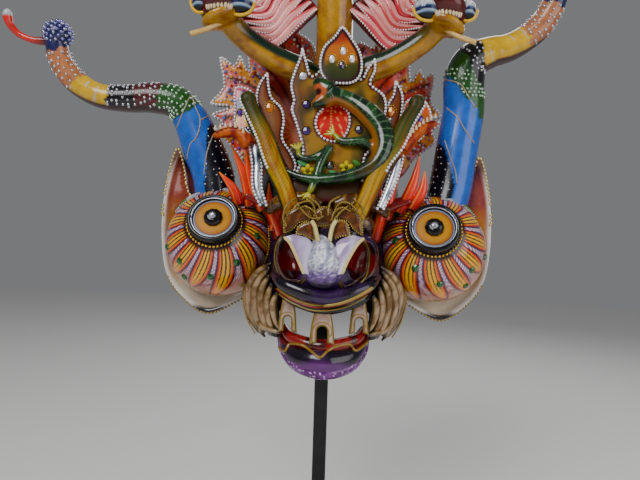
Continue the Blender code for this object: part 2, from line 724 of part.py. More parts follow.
def tooth(name, face):
    """An arched tooth: two legs hanging from the gum."""
    x, y, top, width, height = TEETH[name]
    half = width / 2
    leg = width * 0.3
    outline = [(x - half * 0.6, top), (x - half * 0.85, top - height * 0.45), (x - half, top - height),
               (x - half + leg, top - height * 0.94)]
    for i in range(5):
        angle = math.pi * (1 - i / 4)
        outline.append((x + (half - leg) * math.cos(angle),
                        top - height * 0.62 + half * 0.42 * math.sin(angle)))
    outline += [(x + half - leg, top - height * 0.94), (x + half, top - height),
                (x + half * 0.85, top - height * 0.45), (x + half * 0.6, top)]
    piece = plate(name, outline, TOOTH_THICKNESS, y, 0.0, finish("tooth_bone", (0.72, 0.6, 0.5), 0.35))
    return seat(piece, face, solver="MANIFOLD")


def tusks(side, block_form):
    """A bundle of curved tusks down the cheek, fluted between the strands."""
    sign = -1 if side == "left" else 1
    rings = []
    for height, x0, y0, x1, y1, bulge in TUSK_STATIONS:
        inner, outer = Vector((x0, y0)), Vector((x1, y1))
        across = outer - inner
        forward = Vector((across.y, -across.x)).normalized()
        ring = []
        for i in range(2 * TUSK_STRANDS + 1):
            crest = bulge if i % 2 else 0.0
            point = inner + across * (i / (2 * TUSK_STRANDS)) + forward * crest
            ring.append((sign * point.x, point.y, height))
        for point in (outer - forward * TUSK_ROOT, inner - forward * TUSK_ROOT):
            ring.append((sign * point.x, point.y, height))
        rings.append(ring)
    bundle = loft("cheek_tusks_" + side, rings, finish("tusk_bone", (0.5, 0.42, 0.28), 0.4))
    return seat(bundle, block_form)


def spikes(side, carriers):
    """Red flame spikes that spring from one root at the brow."""
    left = side == "left"
    rows = SPIKE_ROOT_LEFT if left else mirrored(SPIKE_ROOT_LEFT)
    red = finish("flame_red", (0.75, 0.08, 0.02), 0.35)
    things = [tube("flame_spikes_" + side, rows, material=red)]
    for (x0, z0), (x1, z1) in (SPIKES_LEFT if left else SPIKES_RIGHT):
        path = [(x0, SPIKE_Y, z0, SPIKE_RADIUS), (x1, SPIKE_Y - SPIKE_LEAN, z1, SPIKE_TIP)]
        things.append(tube("spike", path, 1, 0))
    return seat(fuse("flame_spikes_" + side, *things), *carriers)


def ornament(form):
    """The leaning plates over the forehead: panel with its niche, flame plaque and side leaves."""
    paint = finish("ornament_ochre", (0.6, 0.25, 0.04), 0.35)
    panel = plate("forehead_panel", PANEL_OUTLINE, PANEL_THICKNESS, PANEL_FRONT, PANEL_LEAN, paint)
    niche = plate("niche", NICHE_OUTLINE, NICHE_CUT, PANEL_FRONT - NICHE_CUT + NICHE_DEPTH, PANEL_LEAN,
                  None, cutters)
    boolean(panel, niche, "DIFFERENCE")
    tidy(panel)
    seat(panel, form)
    flame = plate("flame_plaque", FLAME_OUTLINE, PLAQUE_THICKNESS, PANEL_FRONT - PLAQUE_THICKNESS - GAP,
                  PANEL_LEAN, paint)
    leaves = []
    for side, outline in (("left", SIDE_LEAF_LEFT), ("right", SIDE_LEAF_RIGHT)):
        leaf = plate("side_leaf_" + side, outline, LEAF_THICKNESS, PANEL_FRONT + LEAF_SETBACK,
                     PANEL_LEAN, paint)
        leaves.append(seat(leaf, form, panel))
    return panel, flame, leaves


def crown(form, panel, horns):
    """Serpents, crest wings and manes behind the ornament."""
    centre = serpent("serpent_centre", CENTRE_NECK, CENTRE_HEAD, CENTRE_HEAD_RADII, 0.0, CENTRE_EYES,
                     (form, panel))
    crests = []
    for side, outline in (("left", CREST_OUTLINE), ("right", CREST_OUTLINE_RIGHT)):
        wing = plate("crest_wing_" + side, outline, CREST_THICKNESS, CREST_Y, 0.0,
                     finish("crest_red", (0.7, 0.15, 0.05), 0.3))
        crests.append(seat(wing, form, horns[side], *centre))
    carriers = [*centre, panel, *crests]
    serpents = []
    for side, turn in (("left", SIDE_HEAD_TURN), ("right", -SIDE_HEAD_TURN)):
        neck, head, tongue, eyes = SIDE_NECK_LEFT, SIDE_HEAD_LEFT, TONGUE_LEFT, SIDE_EYES
        if side == "right":
            neck, tongue = mirrored(neck), mirrored(tongue)
            head = mirrored([head])[0]
            eyes = {name: (mirrored([offset])[0], radii) for name, (offset, radii) in eyes.items()}
        made = serpent("serpent_" + side, neck, head, SIDE_HEAD_RADII, turn, eyes, carriers)
        paint = finish("tongue_cream", (0.7, 0.55, 0.3), 0.4)
        made.append(seat(tube("serpent_tongue_" + side, tongue, material=paint), *made))
        serpents += made
    for side, outline in (("left", MANE_OUTLINE), ("right", mirrored(MANE_OUTLINE))):
        mane = plate("mane_" + side, outline, MANE_THICKNESS, MANE_Y, 0.0,
                     finish("mane_pink", (0.75, 0.3, 0.33), 0.4))
        seat(mane, *serpents, *centre, *crests)


def creatures(form, panel, flame, leaves, eyeballs, horns, ears):
    """Lizard, dragons, bands, lappets and flames in front of the ornament."""
    limbs = [tube("lizard", on_panel(LIZARD_BODY), material=finish("lizard_green", (0.02, 0.12, 0.05), 0.2))]
    limbs += [tube("leg", on_panel(rows), 1, 0) for rows in LIZARD_LEGS]
    lizard = seat(fuse("lizard", *limbs), panel, flame, form, *leaves)
    around = [form, panel, *leaves, lizard, *eyeballs.values(), flame, *horns.values()]
    silver = finish("band_silver", (0.6, 0.6, 0.62), 0.25, 0.8)
    for side, neck, jaw, band in (("left", DRAGON_NECK_LEFT, DRAGON_JAW_LEFT, BAND_LEFT),
                                  ("right", DRAGON_NECK_RIGHT, DRAGON_JAW_RIGHT, BAND_RIGHT)):
        body = tube("dragon_" + side, on_panel(neck), material=finish("dragon_ochre", (0.6, 0.32, 0.03), 0.3))
        around.append(seat(fuse(body.name, body, tube("jaw", on_panel(jaw))), *around))
        around.append(seat(tube("dragon_band_" + side, on_panel(band), material=silver), *around))
    for side, outline in (("left", LAPPET_LEFT), ("right", LAPPET_RIGHT)):
        lappet = plate("lappet_" + side, outline, LAPPET_THICKNESS, PANEL_FRONT + LAPPET_SETBACK, PANEL_LEAN,
                       finish("ornament_ochre", (0.6, 0.25, 0.04), 0.35))
        around.append(seat(lappet, *around))
    for side in ears:
        around.append(spikes(side, [*around, ears[side]]))


def main():
    """Build every piece from the face outwards."""
    clear_scene()
    bar = stand()
    form = face_block()
    shell = face_shell(form)
    seat(bar, shell)
    eyeballs = {side: eye(side, form) for side in ("left", "right")}
    horns = {"left": horn("horn_left", HORN_LEFT, HORN_TIP_LEFT, eyeballs["left"], form),
             "right": horn("horn_right", HORN_RIGHT, HORN_TIP_RIGHT, eyeballs["right"], form)}
    ears = {side: ear(side, form, horns[side]) for side in horns}
    panel, flame, leaves = ornament(form)
    crown(form, panel, horns)
    creatures(form, panel, flame, leaves, eyeballs, horns, ears)
    for name in TEETH:
        tooth(name, shell)
    for side in horns:
        tusks(side, form)
    bpy.data.objects.remove(form, do_unlink=True)


main()
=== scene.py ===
"""Look of the diablada mask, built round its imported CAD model.

Lengths are in millimetres and heights are counted from the eye line, until make() turns them into metres.
Some lines of paint and beads are placed by the pixel of the photograph in which they are seen: a ray from
the photograph's camera finds the surface that carries them.
"""

import math

import bmesh
import bpy
import numpy as np
from mathutils import Euler, Matrix, Vector
from mathutils.bvhtree import BVHTree
from mathutils.geometry import delaunay_2d_cdt


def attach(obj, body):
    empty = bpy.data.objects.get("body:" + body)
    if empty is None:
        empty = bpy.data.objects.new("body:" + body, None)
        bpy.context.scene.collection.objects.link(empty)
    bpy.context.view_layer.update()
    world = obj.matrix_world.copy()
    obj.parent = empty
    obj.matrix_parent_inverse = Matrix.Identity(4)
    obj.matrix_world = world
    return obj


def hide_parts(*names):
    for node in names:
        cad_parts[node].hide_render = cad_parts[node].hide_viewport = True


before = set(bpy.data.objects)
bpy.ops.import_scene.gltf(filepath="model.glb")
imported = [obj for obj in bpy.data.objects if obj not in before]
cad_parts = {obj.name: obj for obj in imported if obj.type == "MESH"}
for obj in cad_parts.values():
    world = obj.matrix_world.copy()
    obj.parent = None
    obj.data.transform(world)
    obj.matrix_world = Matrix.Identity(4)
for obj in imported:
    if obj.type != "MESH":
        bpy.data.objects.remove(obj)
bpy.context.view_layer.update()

MM = 0.001
EYE_LINE = 400.0
CAMERA_AT = np.array([-6.9, -600.0, 0.0])
FOCAL = 520.0
ROLL = math.radians(1.8)
rng = np.random.default_rng(7)


# Colours

def rgb(red, green, blue):
    """A colour in screen values from 0 to 255, as the linear values that shaders use."""
    c = np.array([red, green, blue]) / 255.0
    return np.where(c <= 0.04045, c / 12.92, ((c + 0.055) / 1.055) ** 2.4)


BLACK = rgb(14, 13, 16)
NAVY = rgb(16, 18, 42)
BLUE = rgb(46, 120, 206)
GREEN = rgb(44, 104, 34)
DARK_GREEN = rgb(14, 54, 36)
LEAF_GREEN = rgb(92, 130, 30)
MAROON = rgb(84, 16, 20)
DARK_MAROON = rgb(52, 12, 18)
RED = rgb(196, 34, 22)
VERMILION = rgb(232, 70, 36)
ORANGE = rgb(232, 124, 24)
YELLOW = rgb(238, 178, 12)
OCHRE = rgb(190, 134, 14)
BROWN = rgb(96, 60, 34)
TAN = rgb(196, 136, 96)
PINK = rgb(214, 104, 112)
ROSE = rgb(238, 168, 160)
CREAM = rgb(224, 204, 170)
PEARL = rgb(228, 222, 216)
BONE = rgb(206, 182, 164)
OLIVE_GOLD = rgb(150, 128, 48)
PALE_GOLD = rgb(226, 206, 140)
GOLD = rgb(212, 168, 62)
SILVER = rgb(196, 196, 204)
LAVENDER = rgb(196, 190, 226)
PURPLE = rgb(92, 46, 120)
VIOLET = rgb(110, 48, 122)
DEEP_PURPLE = rgb(34, 18, 40)
CRIMSON = rgb(128, 18, 26)
WHITE = rgb(236, 236, 236)
PEARLS = rgb(238, 236, 240)


def mix(a, b, share):
    """Blend of two colours or colour arrays; the share may be one value for each point."""
    share = np.clip(np.asarray(share, float), 0, 1)
    if share.ndim:
        share = share[:, None]
    return np.asarray(a) * (1 - share) + np.asarray(b) * share


def ramp(values, stops):
    """Colours along a scale given as (value, colour) stops."""
    places = [stop[0] for stop in stops]
    shades = np.array([stop[1] for stop in stops])
    return np.stack([np.interp(values, places, shades[:, i]) for i in range(3)], axis=1)


def step(values, edge, width=0.05):
    """Soft step from 0 to 1 round an edge."""
    return np.clip((np.asarray(values, float) - edge) / width + 0.5, 0, 1)


# Materials

def painted(name, roughness=0.3, coat=0.6, metallic=0.0, grain=90.0, mottle=0.25, bump=0.15, sparkle=0.0,
            shine=0.5):
    """Brushed and varnished paint: its colour comes from the points, broken up by two noises."""
    material = bpy.data.materials.new(name)
    material.use_nodes = True
    nodes, links = material.node_tree.nodes, material.node_tree.links
    shader = nodes["Principled BSDF"]
    shader.inputs["Metallic"].default_value = metallic
    shader.inputs["Coat Weight"].default_value = coat
    shader.inputs["Coat Roughness"].default_value = 0.08
    shader.inputs["Specular IOR Level"].default_value = shine
    paint = nodes.new("ShaderNodeAttribute")
    paint.attribute_name = "Paint"
    place = nodes.new("ShaderNodeTexCoord")
    cloud = nodes.new("ShaderNodeTexNoise")
    cloud.inputs["Scale"].default_value = grain
    cloud.inputs["Detail"].default_value = 5.0
    fine = nodes.new("ShaderNodeTexNoise")
    fine.inputs["Scale"].default_value = grain * 9
    fine.inputs["Detail"].default_value = 3.0
    links.new(place.outputs["Object"], cloud.inputs["Vector"])
    links.new(place.outputs["Object"], fine.inputs["Vector"])
    tone = nodes.new("ShaderNodeMapRange")
    tone.inputs["From Min"].default_value = 0.3
    tone.inputs["From Max"].default_value = 0.7
    tone.inputs["To Min"].default_value = 1.0 - mottle
    tone.inputs["To Max"].default_value = 1.0 + mottle * 0.6
    links.new(cloud.outputs["Fac"], tone.inputs["Value"])
    scaled = nodes.new("ShaderNodeVectorMath")
    scaled.operation = "SCALE"
    links.new(paint.outputs["Color"], scaled.inputs[0])
    links.new(tone.outputs["Result"], scaled.inputs["Scale"])
    links.new(scaled.outputs["Vector"], shader.inputs["Base Color"])
    gloss = nodes.new("ShaderNodeMapRange")
    gloss.inputs["From Min"].default_value = 0.3
    gloss.inputs["From Max"].default_value = 0.7
    gloss.inputs["To Min"].default_value = max(roughness - 0.08 - sparkle, 0.03)
    gloss.inputs["To Max"].default_value = roughness + 0.1 + sparkle
    links.new(fine.outputs["Fac"], gloss.inputs["Value"])
    links.new(gloss.outputs["Result"], shader.inputs["Roughness"])
    height = nodes.new("ShaderNodeMath")
    height.operation = "ADD"
    links.new(cloud.outputs["Fac"], height.inputs[0])
    links.new(fine.outputs["Fac"], height.inputs[1])
    relief = nodes.new("ShaderNodeBump")
    relief.inputs["Strength"].default_value = bump
    relief.inputs["Distance"].default_value = 0.0006
    links.new(height.outputs["Value"], relief.inputs["Height"])
    links.new(relief.outputs["Normal"], shader.inputs["Normal"])
    return material


MATERIALS = {
    "lacquer": painted("lacquer", 0.26, 0.45, shine=0.35),
    "smooth": painted("smooth_lacquer", 0.2, 0.5, mottle=0.12, bump=0.05, shine=0.35),
    "pearl": painted("pearl_varnish", 0.22, 0.9, grain=30, mottle=0.14, bump=0.04),
    "matt": painted("brushed_paint", 0.45, 0.25, grain=140, mottle=0.35, bump=0.35),
    "glitter": painted("glitter_paint", 0.3, 0.6, 0.35, grain=260, mottle=0.35, bump=0.6, sparkle=0.12),
    "metal": painted("bead_metal", 0.24, 0.2, 0.85, grain=300, mottle=0.2, bump=0.1),
    "satin": painted("satin_paint", 0.48, 0.04, mottle=0.07, bump=0.03, shine=0.2),
    "pearls": painted("bead_pearl", 0.2, 0.7, 0.2, grain=300, mottle=0.1, bump=0.05),
    "gem": painted("cut_glass", 0.06, 1.0, 0.15, grain=200, mottle=0.15, bump=0.0),
    "black": painted("black_gloss", 0.12, 0.25, mottle=0.2, bump=0.03, shine=0.3),
}


# Varnish deepens painted colours: exponents for the paint of each material
DEPTH = {"satin": 1.3, "lacquer": 1.3, "smooth": 1.25, "matt": 1.2, "glitter": 1.1, "pearl": 1.1, "gem": 1.2}


# Meshes

def make(name, points, faces, colour, material="lacquer", slot=None, replaces=(), flat=False):
    """A piece of the mask from points and faces, with one colour for all points or one for each."""
    mesh = bpy.data.meshes.new(name)
    metres = (np.asarray(points, float) + (0, 0, EYE_LINE)) * MM
    mesh.from_pydata(metres.tolist(), [], faces if isinstance(faces, list) else faces.tolist())
    bm = bmesh.new()
    bm.from_mesh(mesh)
    bmesh.ops.recalc_face_normals(bm, faces=bm.faces)
    bm.to_mesh(mesh)
    bm.free()
    return settle(bpy.data.objects.new(name, mesh), colour, material, replaces, flat)


def settle(thing, colour, material, replaces=(), flat=False):
    """Paint a piece, put it in the scene and let it ride on the mask."""
    mesh = thing.data
    count = len(mesh.vertices)
    shades = np.ones((count, 4))
    shades[:, :3] = np.clip(colour, 0, 1) ** DEPTH.get(material, 1.0)
    layer = mesh.color_attributes.new("Paint", "FLOAT_COLOR", "POINT")
    layer.data.foreach_set("color", np.clip(shades, 0, 1).astype(np.float32).ravel())
    mesh.polygons.foreach_set("use_smooth", [not flat] * len(mesh.polygons))
    mesh.materials.clear()
    mesh.materials.append(MATERIALS[material])
    if thing.name not in bpy.context.scene.collection.objects:
        bpy.context.scene.collection.objects.link(thing)
    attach(thing, "root")
    if replaces:
        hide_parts(*replaces)
    return thing


def joined(parts):
    """Several (points, faces, colours) as one."""
    points, faces, colours, base = [], [], [], 0
    for p, f, c in parts:
        p = np.asarray(p, float)
        points.append(p)
        colours.append(np.broadcast_to(np.asarray(c, float), (len(p), 3)))
        faces += [[i + base for i in face] for face in (f if isinstance(f, list) else f.tolist())]
        base += len(p)
    return np.vstack(points), faces, np.vstack(colours)


def curve(rows, steps, closed=False):
    """Rows on a Catmull-Rom curve through the given rows."""
    rows = np.array(rows, float)
    if closed:
        rows = np.vstack([rows[-1], rows, rows[0], rows[1]])
    else:
        rows = np.vstack([2 * rows[0] - rows[1], rows, 2 * rows[-1] - rows[-2]])
    t = (np.arange(steps) / steps)[:, None]
    out = []
    for i in range(1, len(rows) - 2):
        a, b, c, d = rows[i - 1:i + 3]
        out.append(0.5 * (2 * b + (c - a) * t + (2 * a - 5 * b + 4 * c - d) * t ** 2
                          + (3 * b - a - 3 * c + d) * t ** 3))
    if not closed:
        out.append(rows[-2][None])
    return np.vstack(out)


def even(points, spacing, closed=False):
    """Points at an even distance along a line."""
    points = np.asarray(points, float)
    if closed:
        points = np.vstack([points, points[0]])
    along = np.concatenate([[0], np.cumsum(np.linalg.norm(np.diff(points, axis=0), axis=1))])
    count = max(int(round(along[-1] / spacing)), 1)
    marks = np.linspace(0, along[-1], count + 1)
    if closed:
        marks = marks[:-1]
    return np.stack([np.interp(marks, along, points[:, i]) for i in range(points.shape[1])], axis=1)


def tube(rows, sides=12, steps=6, squash=1.0, wave=None):
    """A round body along rows of x, depth, height and radius: points, faces, share along and angle."""
    rows = curve(rows, steps)
    path, radii = rows[:, :3], rows[:, 3]
    ahead = np.gradient(path, axis=0)
    ahead /= np.linalg.norm(ahead, axis=1)[:, None]
    side = np.cross(ahead[0], (0, -1, 0))
    if np.linalg.norm(side) < 0.1:
        side = np.cross(ahead[0], (0, 0, 1))
    side /= np.linalg.norm(side)
    angles = 2 * np.pi * np.arange(sides) / sides
    rings = []
    for point, radius, direction in zip(path, radii, ahead):
        side = side - direction * (side @ direction)
        side /= np.linalg.norm(side)
        up = np.cross(direction, side)
        rings.append(point + radius * (np.cos(angles)[:, None] * side + squash * np.sin(angles)[:, None] * up))
    points = np.vstack(rings)
    count = len(path)
    faces = []
    for i in range(count - 1):
        for j in range(sides):
            k = (j + 1) % sides
            faces.append([i * sides + j, i * sides + k, (i + 1) * sides + k, (i + 1) * sides + j])
    faces.append(list(range(sides))[::-1])
    faces.append([(count - 1) * sides + j for j in range(sides)])
    share = np.repeat(np.linspace(0, 1, count), sides)
    around = np.tile(angles, count)
    return points, faces, share, around


def line(points, radius, sides=6):
    """A thin round line through points."""
    rows = np.column_stack([points, np.full(len(points), radius)])
    rows[0, 3] = rows[-1, 3] = radius * 0.6
    return tube(rows, sides, 1)[:2]


def sphere(segments=12, rings=8):
    """Unit ball: points and faces."""
    points, faces = [(0, 0, 1)], []
    for i in range(1, rings):
        for j in range(segments):
            a, b = math.pi * i / rings, 2 * math.pi * j / segments
            points.append((math.sin(a) * math.cos(b), math.sin(a) * math.sin(b), math.cos(a)))
    points.append((0, 0, -1))
    last = len(points) - 1
    for j in range(segments):
        k = (j + 1) % segments
        faces.append([0, 1 + j, 1 + k])
        for i in range(rings - 2):
            a = 1 + i * segments
            faces.append([a + j, a + segments + j, a + segments + k, a + k])
        a = 1 + (rings - 2) * segments
        faces.append([a + j, last, a + k])
    return np.array(points, float), faces


BEAD = sphere(7, 5)


def beads(name, places, radius, colour, material="metal", slot=None, shape=BEAD, flat=False):
    """Small balls at many places, as one piece."""
    places = np.asarray(places, float)
    radius = np.broadcast_to(np.asarray(radius, float), (len(places),))
    colour = np.broadcast_to(np.asarray(colour, float), (len(places), 3))
    if material == "metal" and np.allclose(colour[0], PEARLS):
        material = "pearls"
    parts = [(shape[0] * r + p, shape[1], c) for p, r, c in zip(places, radius, colour)]
    return make(name, *joined(parts), material, slot, (), flat)


def ellipsoid(centre, radii, turn=(0, 0, 0), segments=40, rings=26):
    """A turned ellipsoid: points and faces."""
    points, faces = sphere(segments, rings)
    turning = np.array(Euler(turn).to_matrix())
    return (points * radii) @ turning.T + centre, faces


def mirrored(rows):
    """Rows on the other side of the face."""
    return [(-row[0], *row[1:]) for row in rows]


# Rays from the photograph's camera

def surface(*things):
    """What rays can meet: the shown meshes of some pieces."""
    points, faces, base = [], [], 0
    for thing in things:
        mesh = thing.data
        co = np.empty(len(mesh.vertices) * 3)
        mesh.vertices.foreach_get("co", co)
        points += co.reshape(-1, 3).tolist()
        faces += [[i + base for i in polygon.vertices] for polygon in mesh.polygons]
        base += len(mesh.vertices)
    return BVHTree.FromPolygons(points, faces)


def aim(u, v):
    """Direction of the ray through a pixel."""
    a, b = u - 320.0, 240.0 - v
    c, s = math.cos(ROLL), math.sin(ROLL)
    return np.array([(a * c - b * s) / FOCAL, 1.0, (a * s + b * c) / FOCAL])


def hit(target, u, v, lift=0.0):
    """Where the ray through a pixel meets a surface, lifted off it, and the surface's normal."""
    direction = aim(u, v)
    origin = Vector((CAMERA_AT + (0, 0, EYE_LINE)) * MM)
    place, normal, index, distance = target.ray_cast(origin, Vector(direction).normalized())
    if place is None:
        return None
    normal = np.array(normal)
    if normal @ direction > 0:
        normal = -normal
    return np.array(place) / MM - (0, 0, EYE_LINE) + normal * lift, normal


def on_plane(u, v, depth):
    """Where the ray through a pixel meets the upright plane at a depth."""
    return CAMERA_AT + aim(u, v) * (depth - CAMERA_AT[1])


def trace(target, pixels, spacing, lift=0.0, closed=False, steps=8):
    """Even points on a surface under a smooth line of pixels."""
    found = [hit(target, u, v, lift) for u, v in curve(pixels, steps, closed)]
    places = [f[0] for f in found if f is not None]
    return even(places, spacing, closed) if len(places) > 1 else np.zeros((0, 3))


def near(points, path):
    """Distance from each point to a line of points."""
    points, path = np.asarray(points, float), np.asarray(path, float)
    best = np.full(len(points), 1e9)
    for a, b in zip(path, path[1:]):
        d = b - a
        t = np.clip(((points - a) @ d) / max(d @ d, 1e-9), 0, 1)
        best = np.minimum(best, np.linalg.norm(points - a - t[:, None] * d, axis=1))
    return best


def noise(points, scale, seed=0):
    """Smooth value noise from -1 to 1 at points."""
    p = np.asarray(points, float) / scale + seed * 17.3
    total = np.zeros(len(p))
    for k in range(3):
        a = np.array([1.7, 2.9, 2.3]) * (1.9 ** k)
        total += np.sin(p @ (a * [1, .6, -.4]) + 1.3 * np.sin(p @ (a[::-1] * [.3, -.9, .7]))) / (1.6 ** k)
    return np.clip(total / 1.8, -1, 1)


# Stand

def stand():
    """Post, bar and base plate keep their CAD meshes under a worn satin black."""
    material = bpy.data.materials.new("stand_paint")
    material.use_nodes = True
    nodes, links = material.node_tree.nodes, material.node_tree.links
    shader = nodes["Principled BSDF"]
    shader.inputs["Metallic"].default_value = 0.4
    shader.inputs["Coat Weight"].default_value = 0.15
    place = nodes.new("ShaderNodeTexCoord")
    cloud = nodes.new("ShaderNodeTexNoise")
    cloud.inputs["Scale"].default_value = 38.0
    cloud.inputs["Detail"].default_value = 6.0
    links.new(place.outputs["Object"], cloud.inputs["Vector"])
    shade = nodes.new("ShaderNodeValToRGB")
    shade.color_ramp.elements[0].position = 0.35
    shade.color_ramp.elements[0].color = (*rgb(16, 16, 18), 1)
    shade.color_ramp.elements[1].position = 0.75
    shade.color_ramp.elements[1].color = (*rgb(34, 34, 37), 1)
    links.new(cloud.outputs["Fac"], shade.inputs["Fac"])
    links.new(shade.outputs["Color"], shader.inputs["Base Color"])
    gloss = nodes.new("ShaderNodeMapRange")
    gloss.inputs["To Min"].default_value = 0.32
    gloss.inputs["To Max"].default_value = 0.6
    links.new(cloud.outputs["Fac"], gloss.inputs["Value"])
    links.new(gloss.outputs["Result"], shader.inputs["Roughness"])
    grain = nodes.new("ShaderNodeTexNoise")
    grain.inputs["Scale"].default_value = 900.0
    links.new(place.outputs["Object"], grain.inputs["Vector"])
    relief = nodes.new("ShaderNodeBump")
    relief.inputs["Strength"].default_value = 0.2
    relief.inputs["Distance"].default_value = 0.0003
    links.new(grain.outputs["Fac"], relief.inputs["Height"])
    links.new(relief.outputs["Normal"], shader.inputs["Normal"])
    for name in ("stand_base", "stand_post", "stand_bar"):
        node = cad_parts[name]
        node.data.materials.clear()
        node.data.materials.append(material)


# Eyes

EYE_CENTRE = np.array([121.0, 0.0, -7.0])
EYE_RADIUS = 61.0
EYE_CUT = 1.6
EYE_LOOK = {"left": (math.radians(2), math.radians(25)), "right": (math.radians(-9), math.radians(22))}
LAMP_SEAT = 55.3
COLLAR_RADIUS = 27.5
FLAMES = 12


EYE_CROP_LEFT = ((150, 140), 5)
EYE_CROP_RIGHT = ((218, 170), 5)
EYE_CHAINS = {
    "left": (EYE_CROP_LEFT, [(440, 262), (490, 272), (560, 330), (592, 440), (592, 560), (545, 660), (480, 722)]),
    "right": (EYE_CROP_RIGHT, [(900, 160), (832, 200), (797, 300), (792, 420), (812, 520), (845, 590), (900, 640)]),
}
EYE_LEAVES = {
    "left": (EYE_CROP_LEFT, [[(110, 330), (150, 270), (200, 236), (270, 228)], [(120, 350), (165, 300), (215, 268)],
                             [(300, 232), (360, 236), (420, 268)]]),
    "right": (EYE_CROP_RIGHT, [[(1260, 100), (1225, 128), (1180, 150), (1110, 150)], [(1290, 230), (1262, 180), (1215, 152)],
                               [(1060, 138), (1000, 140), (940, 165)]]),
}


EYE_STONES = (((150, 150), 4), [(145, 440), (155, 503), (266, 500), (364, 445), (438, 345), (427, 240), (352, 168),
                                (82, 388), (112, 228), (240, 158)])


def eye_frame(side):
    """Centre of the eye and its axes: the lamp's direction, across and up."""
    azimuth, elevation = EYE_LOOK[side]
    sign = -1 if side == "left" else 1
    look = np.array([math.sin(azimuth) * math.cos(elevation), -math.cos(azimuth) * math.cos(elevation),
                     math.sin(elevation)])
    across = np.cross(look, (0, 0, 1))
    across /= np.linalg.norm(across)
    return EYE_CENTRE * (sign, 1, 1), look, across, np.cross(across, look)


def eyeball(side):
    """Ball painted with flames that swirl away from the lamp, blue wedges and a warm cream ground."""
    centre, look, across, up = eye_frame(side)
    inward = 1 if side == "left" else -1
    segments, rings = 384, 72
    start, stop = math.radians(25.5), math.radians(150)
    theta = start + (stop - start) * np.linspace(0, 1, rings) ** 1.12
    phi = 2 * np.pi * np.arange(segments) / segments
    t, p = np.repeat(theta, segments), np.tile(phi, rings)
    points = centre + EYE_RADIUS * (np.cos(t)[:, None] * look + (np.sin(t) * np.cos(p))[:, None] * across
                                    + (np.sin(t) * np.sin(p))[:, None] * up)
    over = points[:, 1] > EYE_CUT
    span = np.linalg.norm((points - centre)[:, [0, 2]], axis=1)
    flat = np.sqrt(EYE_RADIUS ** 2 - EYE_CUT ** 2)
    points[over, 1] = EYE_CUT
    points[over & (span > flat), 0] *= 1.0
    faces = []
    for i in range(rings - 1):
        for j in range(segments):
            k = (j + 1) % segments
            faces.append([i * segments + j, i * segments + k, (i + 1) * segments + k, (i + 1) * segments + j])
    share = (t - math.radians(27)) / math.radians(60)
    swirl = -inward * (0.16 + 0.24 * np.cos(p + math.pi / 2) ** 2) * np.maximum(share, 0) ** 1.4
    turn = (p + swirl + 0.15) / (2 * np.pi) * FLAMES
    slot_index = np.floor(turn)
    local = (turn - slot_index - 0.5) * 2
    reach = 0.92 + 0.1 * np.sin(slot_index * 2.4 + 1.0) - 0.16 * np.sin(p)
    s = np.clip(share / reach, 0, 2)
    breadth = np.clip(0.8 * np.maximum(1 - s ** 2.2, 0) ** 0.8 * (0.8 + 0.3 * s), 0, 1) * (s < 1)
    ground = mix(rgb(214, 150, 130), rgb(176, 84, 70), step(noise(points, 14, 2), 0.3, 1.2))
    ground = mix(ground, rgb(190, 134, 84), step(share, 0.95, 0.4) * 0.8)
    ground = mix(ground, rgb(150, 196, 150), step(noise(points, 10, 7), 0.55, 0.3) * 0.5)
    edge = np.abs(local)
    wedge = step(edge, 0.72, 0.2) * step(1.05 - share, 0.35, 0.5)
    streak = 0.5 + 0.5 * np.sin(local * 34 + 3 * share)
    wedge_paint = ramp(streak, [(0, rgb(20, 60, 150)), (0.3, rgb(90, 130, 200)), (0.6, rgb(246, 236, 236)),
                                (0.85, rgb(240, 226, 220)), (1, rgb(214, 70, 84))])
    colour = mix(ground, wedge_paint, wedge)
    ribbon = step(edge - breadth, 0.0, 0.02) * step(0.16 - (edge - breadth), 0.0, 0.06) * (s < 1.05)
    colour = mix(colour, rgb(104, 28, 46), ribbon * step(1.15 - s, 0.1, 0.1))
    inside = step(breadth - edge, 0.0, 0.04)
    q = np.where(breadth > 0.01, edge / np.maximum(breadth, 0.01), 2)
    flame = ramp(q, [(0, rgb(250, 200, 0)), (0.62, rgb(248, 180, 0)), (0.82, rgb(236, 104, 4)), (1, rgb(196, 34, 12))])
    flame = mix(flame, rgb(236, 110, 12), step(s, 0.85, 0.4) * 0.8)
    colour = mix(colour, flame, inside)
    lines = np.zeros(len(points))
    for offset in (-0.42, 0.0, 0.42):
        width = 0.09 * np.clip(1 - s / (0.8 - 0.2 * abs(offset)), 0, 1) ** 0.5
        lines = np.maximum(lines, step(width - np.abs(local - offset * breadth / 0.78), 0, 0.03))
    colour = mix(colour, rgb(18, 26, 52), lines * inside * (share > 0))
    colour = mix(colour, rgb(60, 24, 30), step(0.1 - share, 0.0, 0.06))
    ball = make("eyeball_paint_" + side, points, faces, colour, "smooth", "eye_cream", ("eyeball_" + side,))
    return ball, centre, look, across, up


def polar(frame_of_eye, theta, phi, lift=0.0):
    """A point on the eyeball from its angle off the lamp's axis and its turn round it."""
    centre, look, across, up = frame_of_eye
    return centre + (EYE_RADIUS + lift) * (math.cos(theta) * look + math.sin(theta) * math.cos(phi) * across
                                           + math.sin(theta) * math.sin(phi) * up)


def on_eye(centre, pixels, lift):
    """Points on the eyeball under a line of pixels, kept inside its outline."""
    path = np.array([on_plane(u, v, -18.0) for u, v in curve(pixels, 8)])
    for point in path:
        out = point[[0, 2]] - centre[[0, 2]]
        radius = np.linalg.norm(out)
        reach = min(radius, EYE_RADIUS - 0.8)
        point[[0, 2]] = centre[[0, 2]] + out * reach / radius
        point[1] = centre[1] - math.sqrt(EYE_RADIUS ** 2 - reach ** 2) - lift
    return path


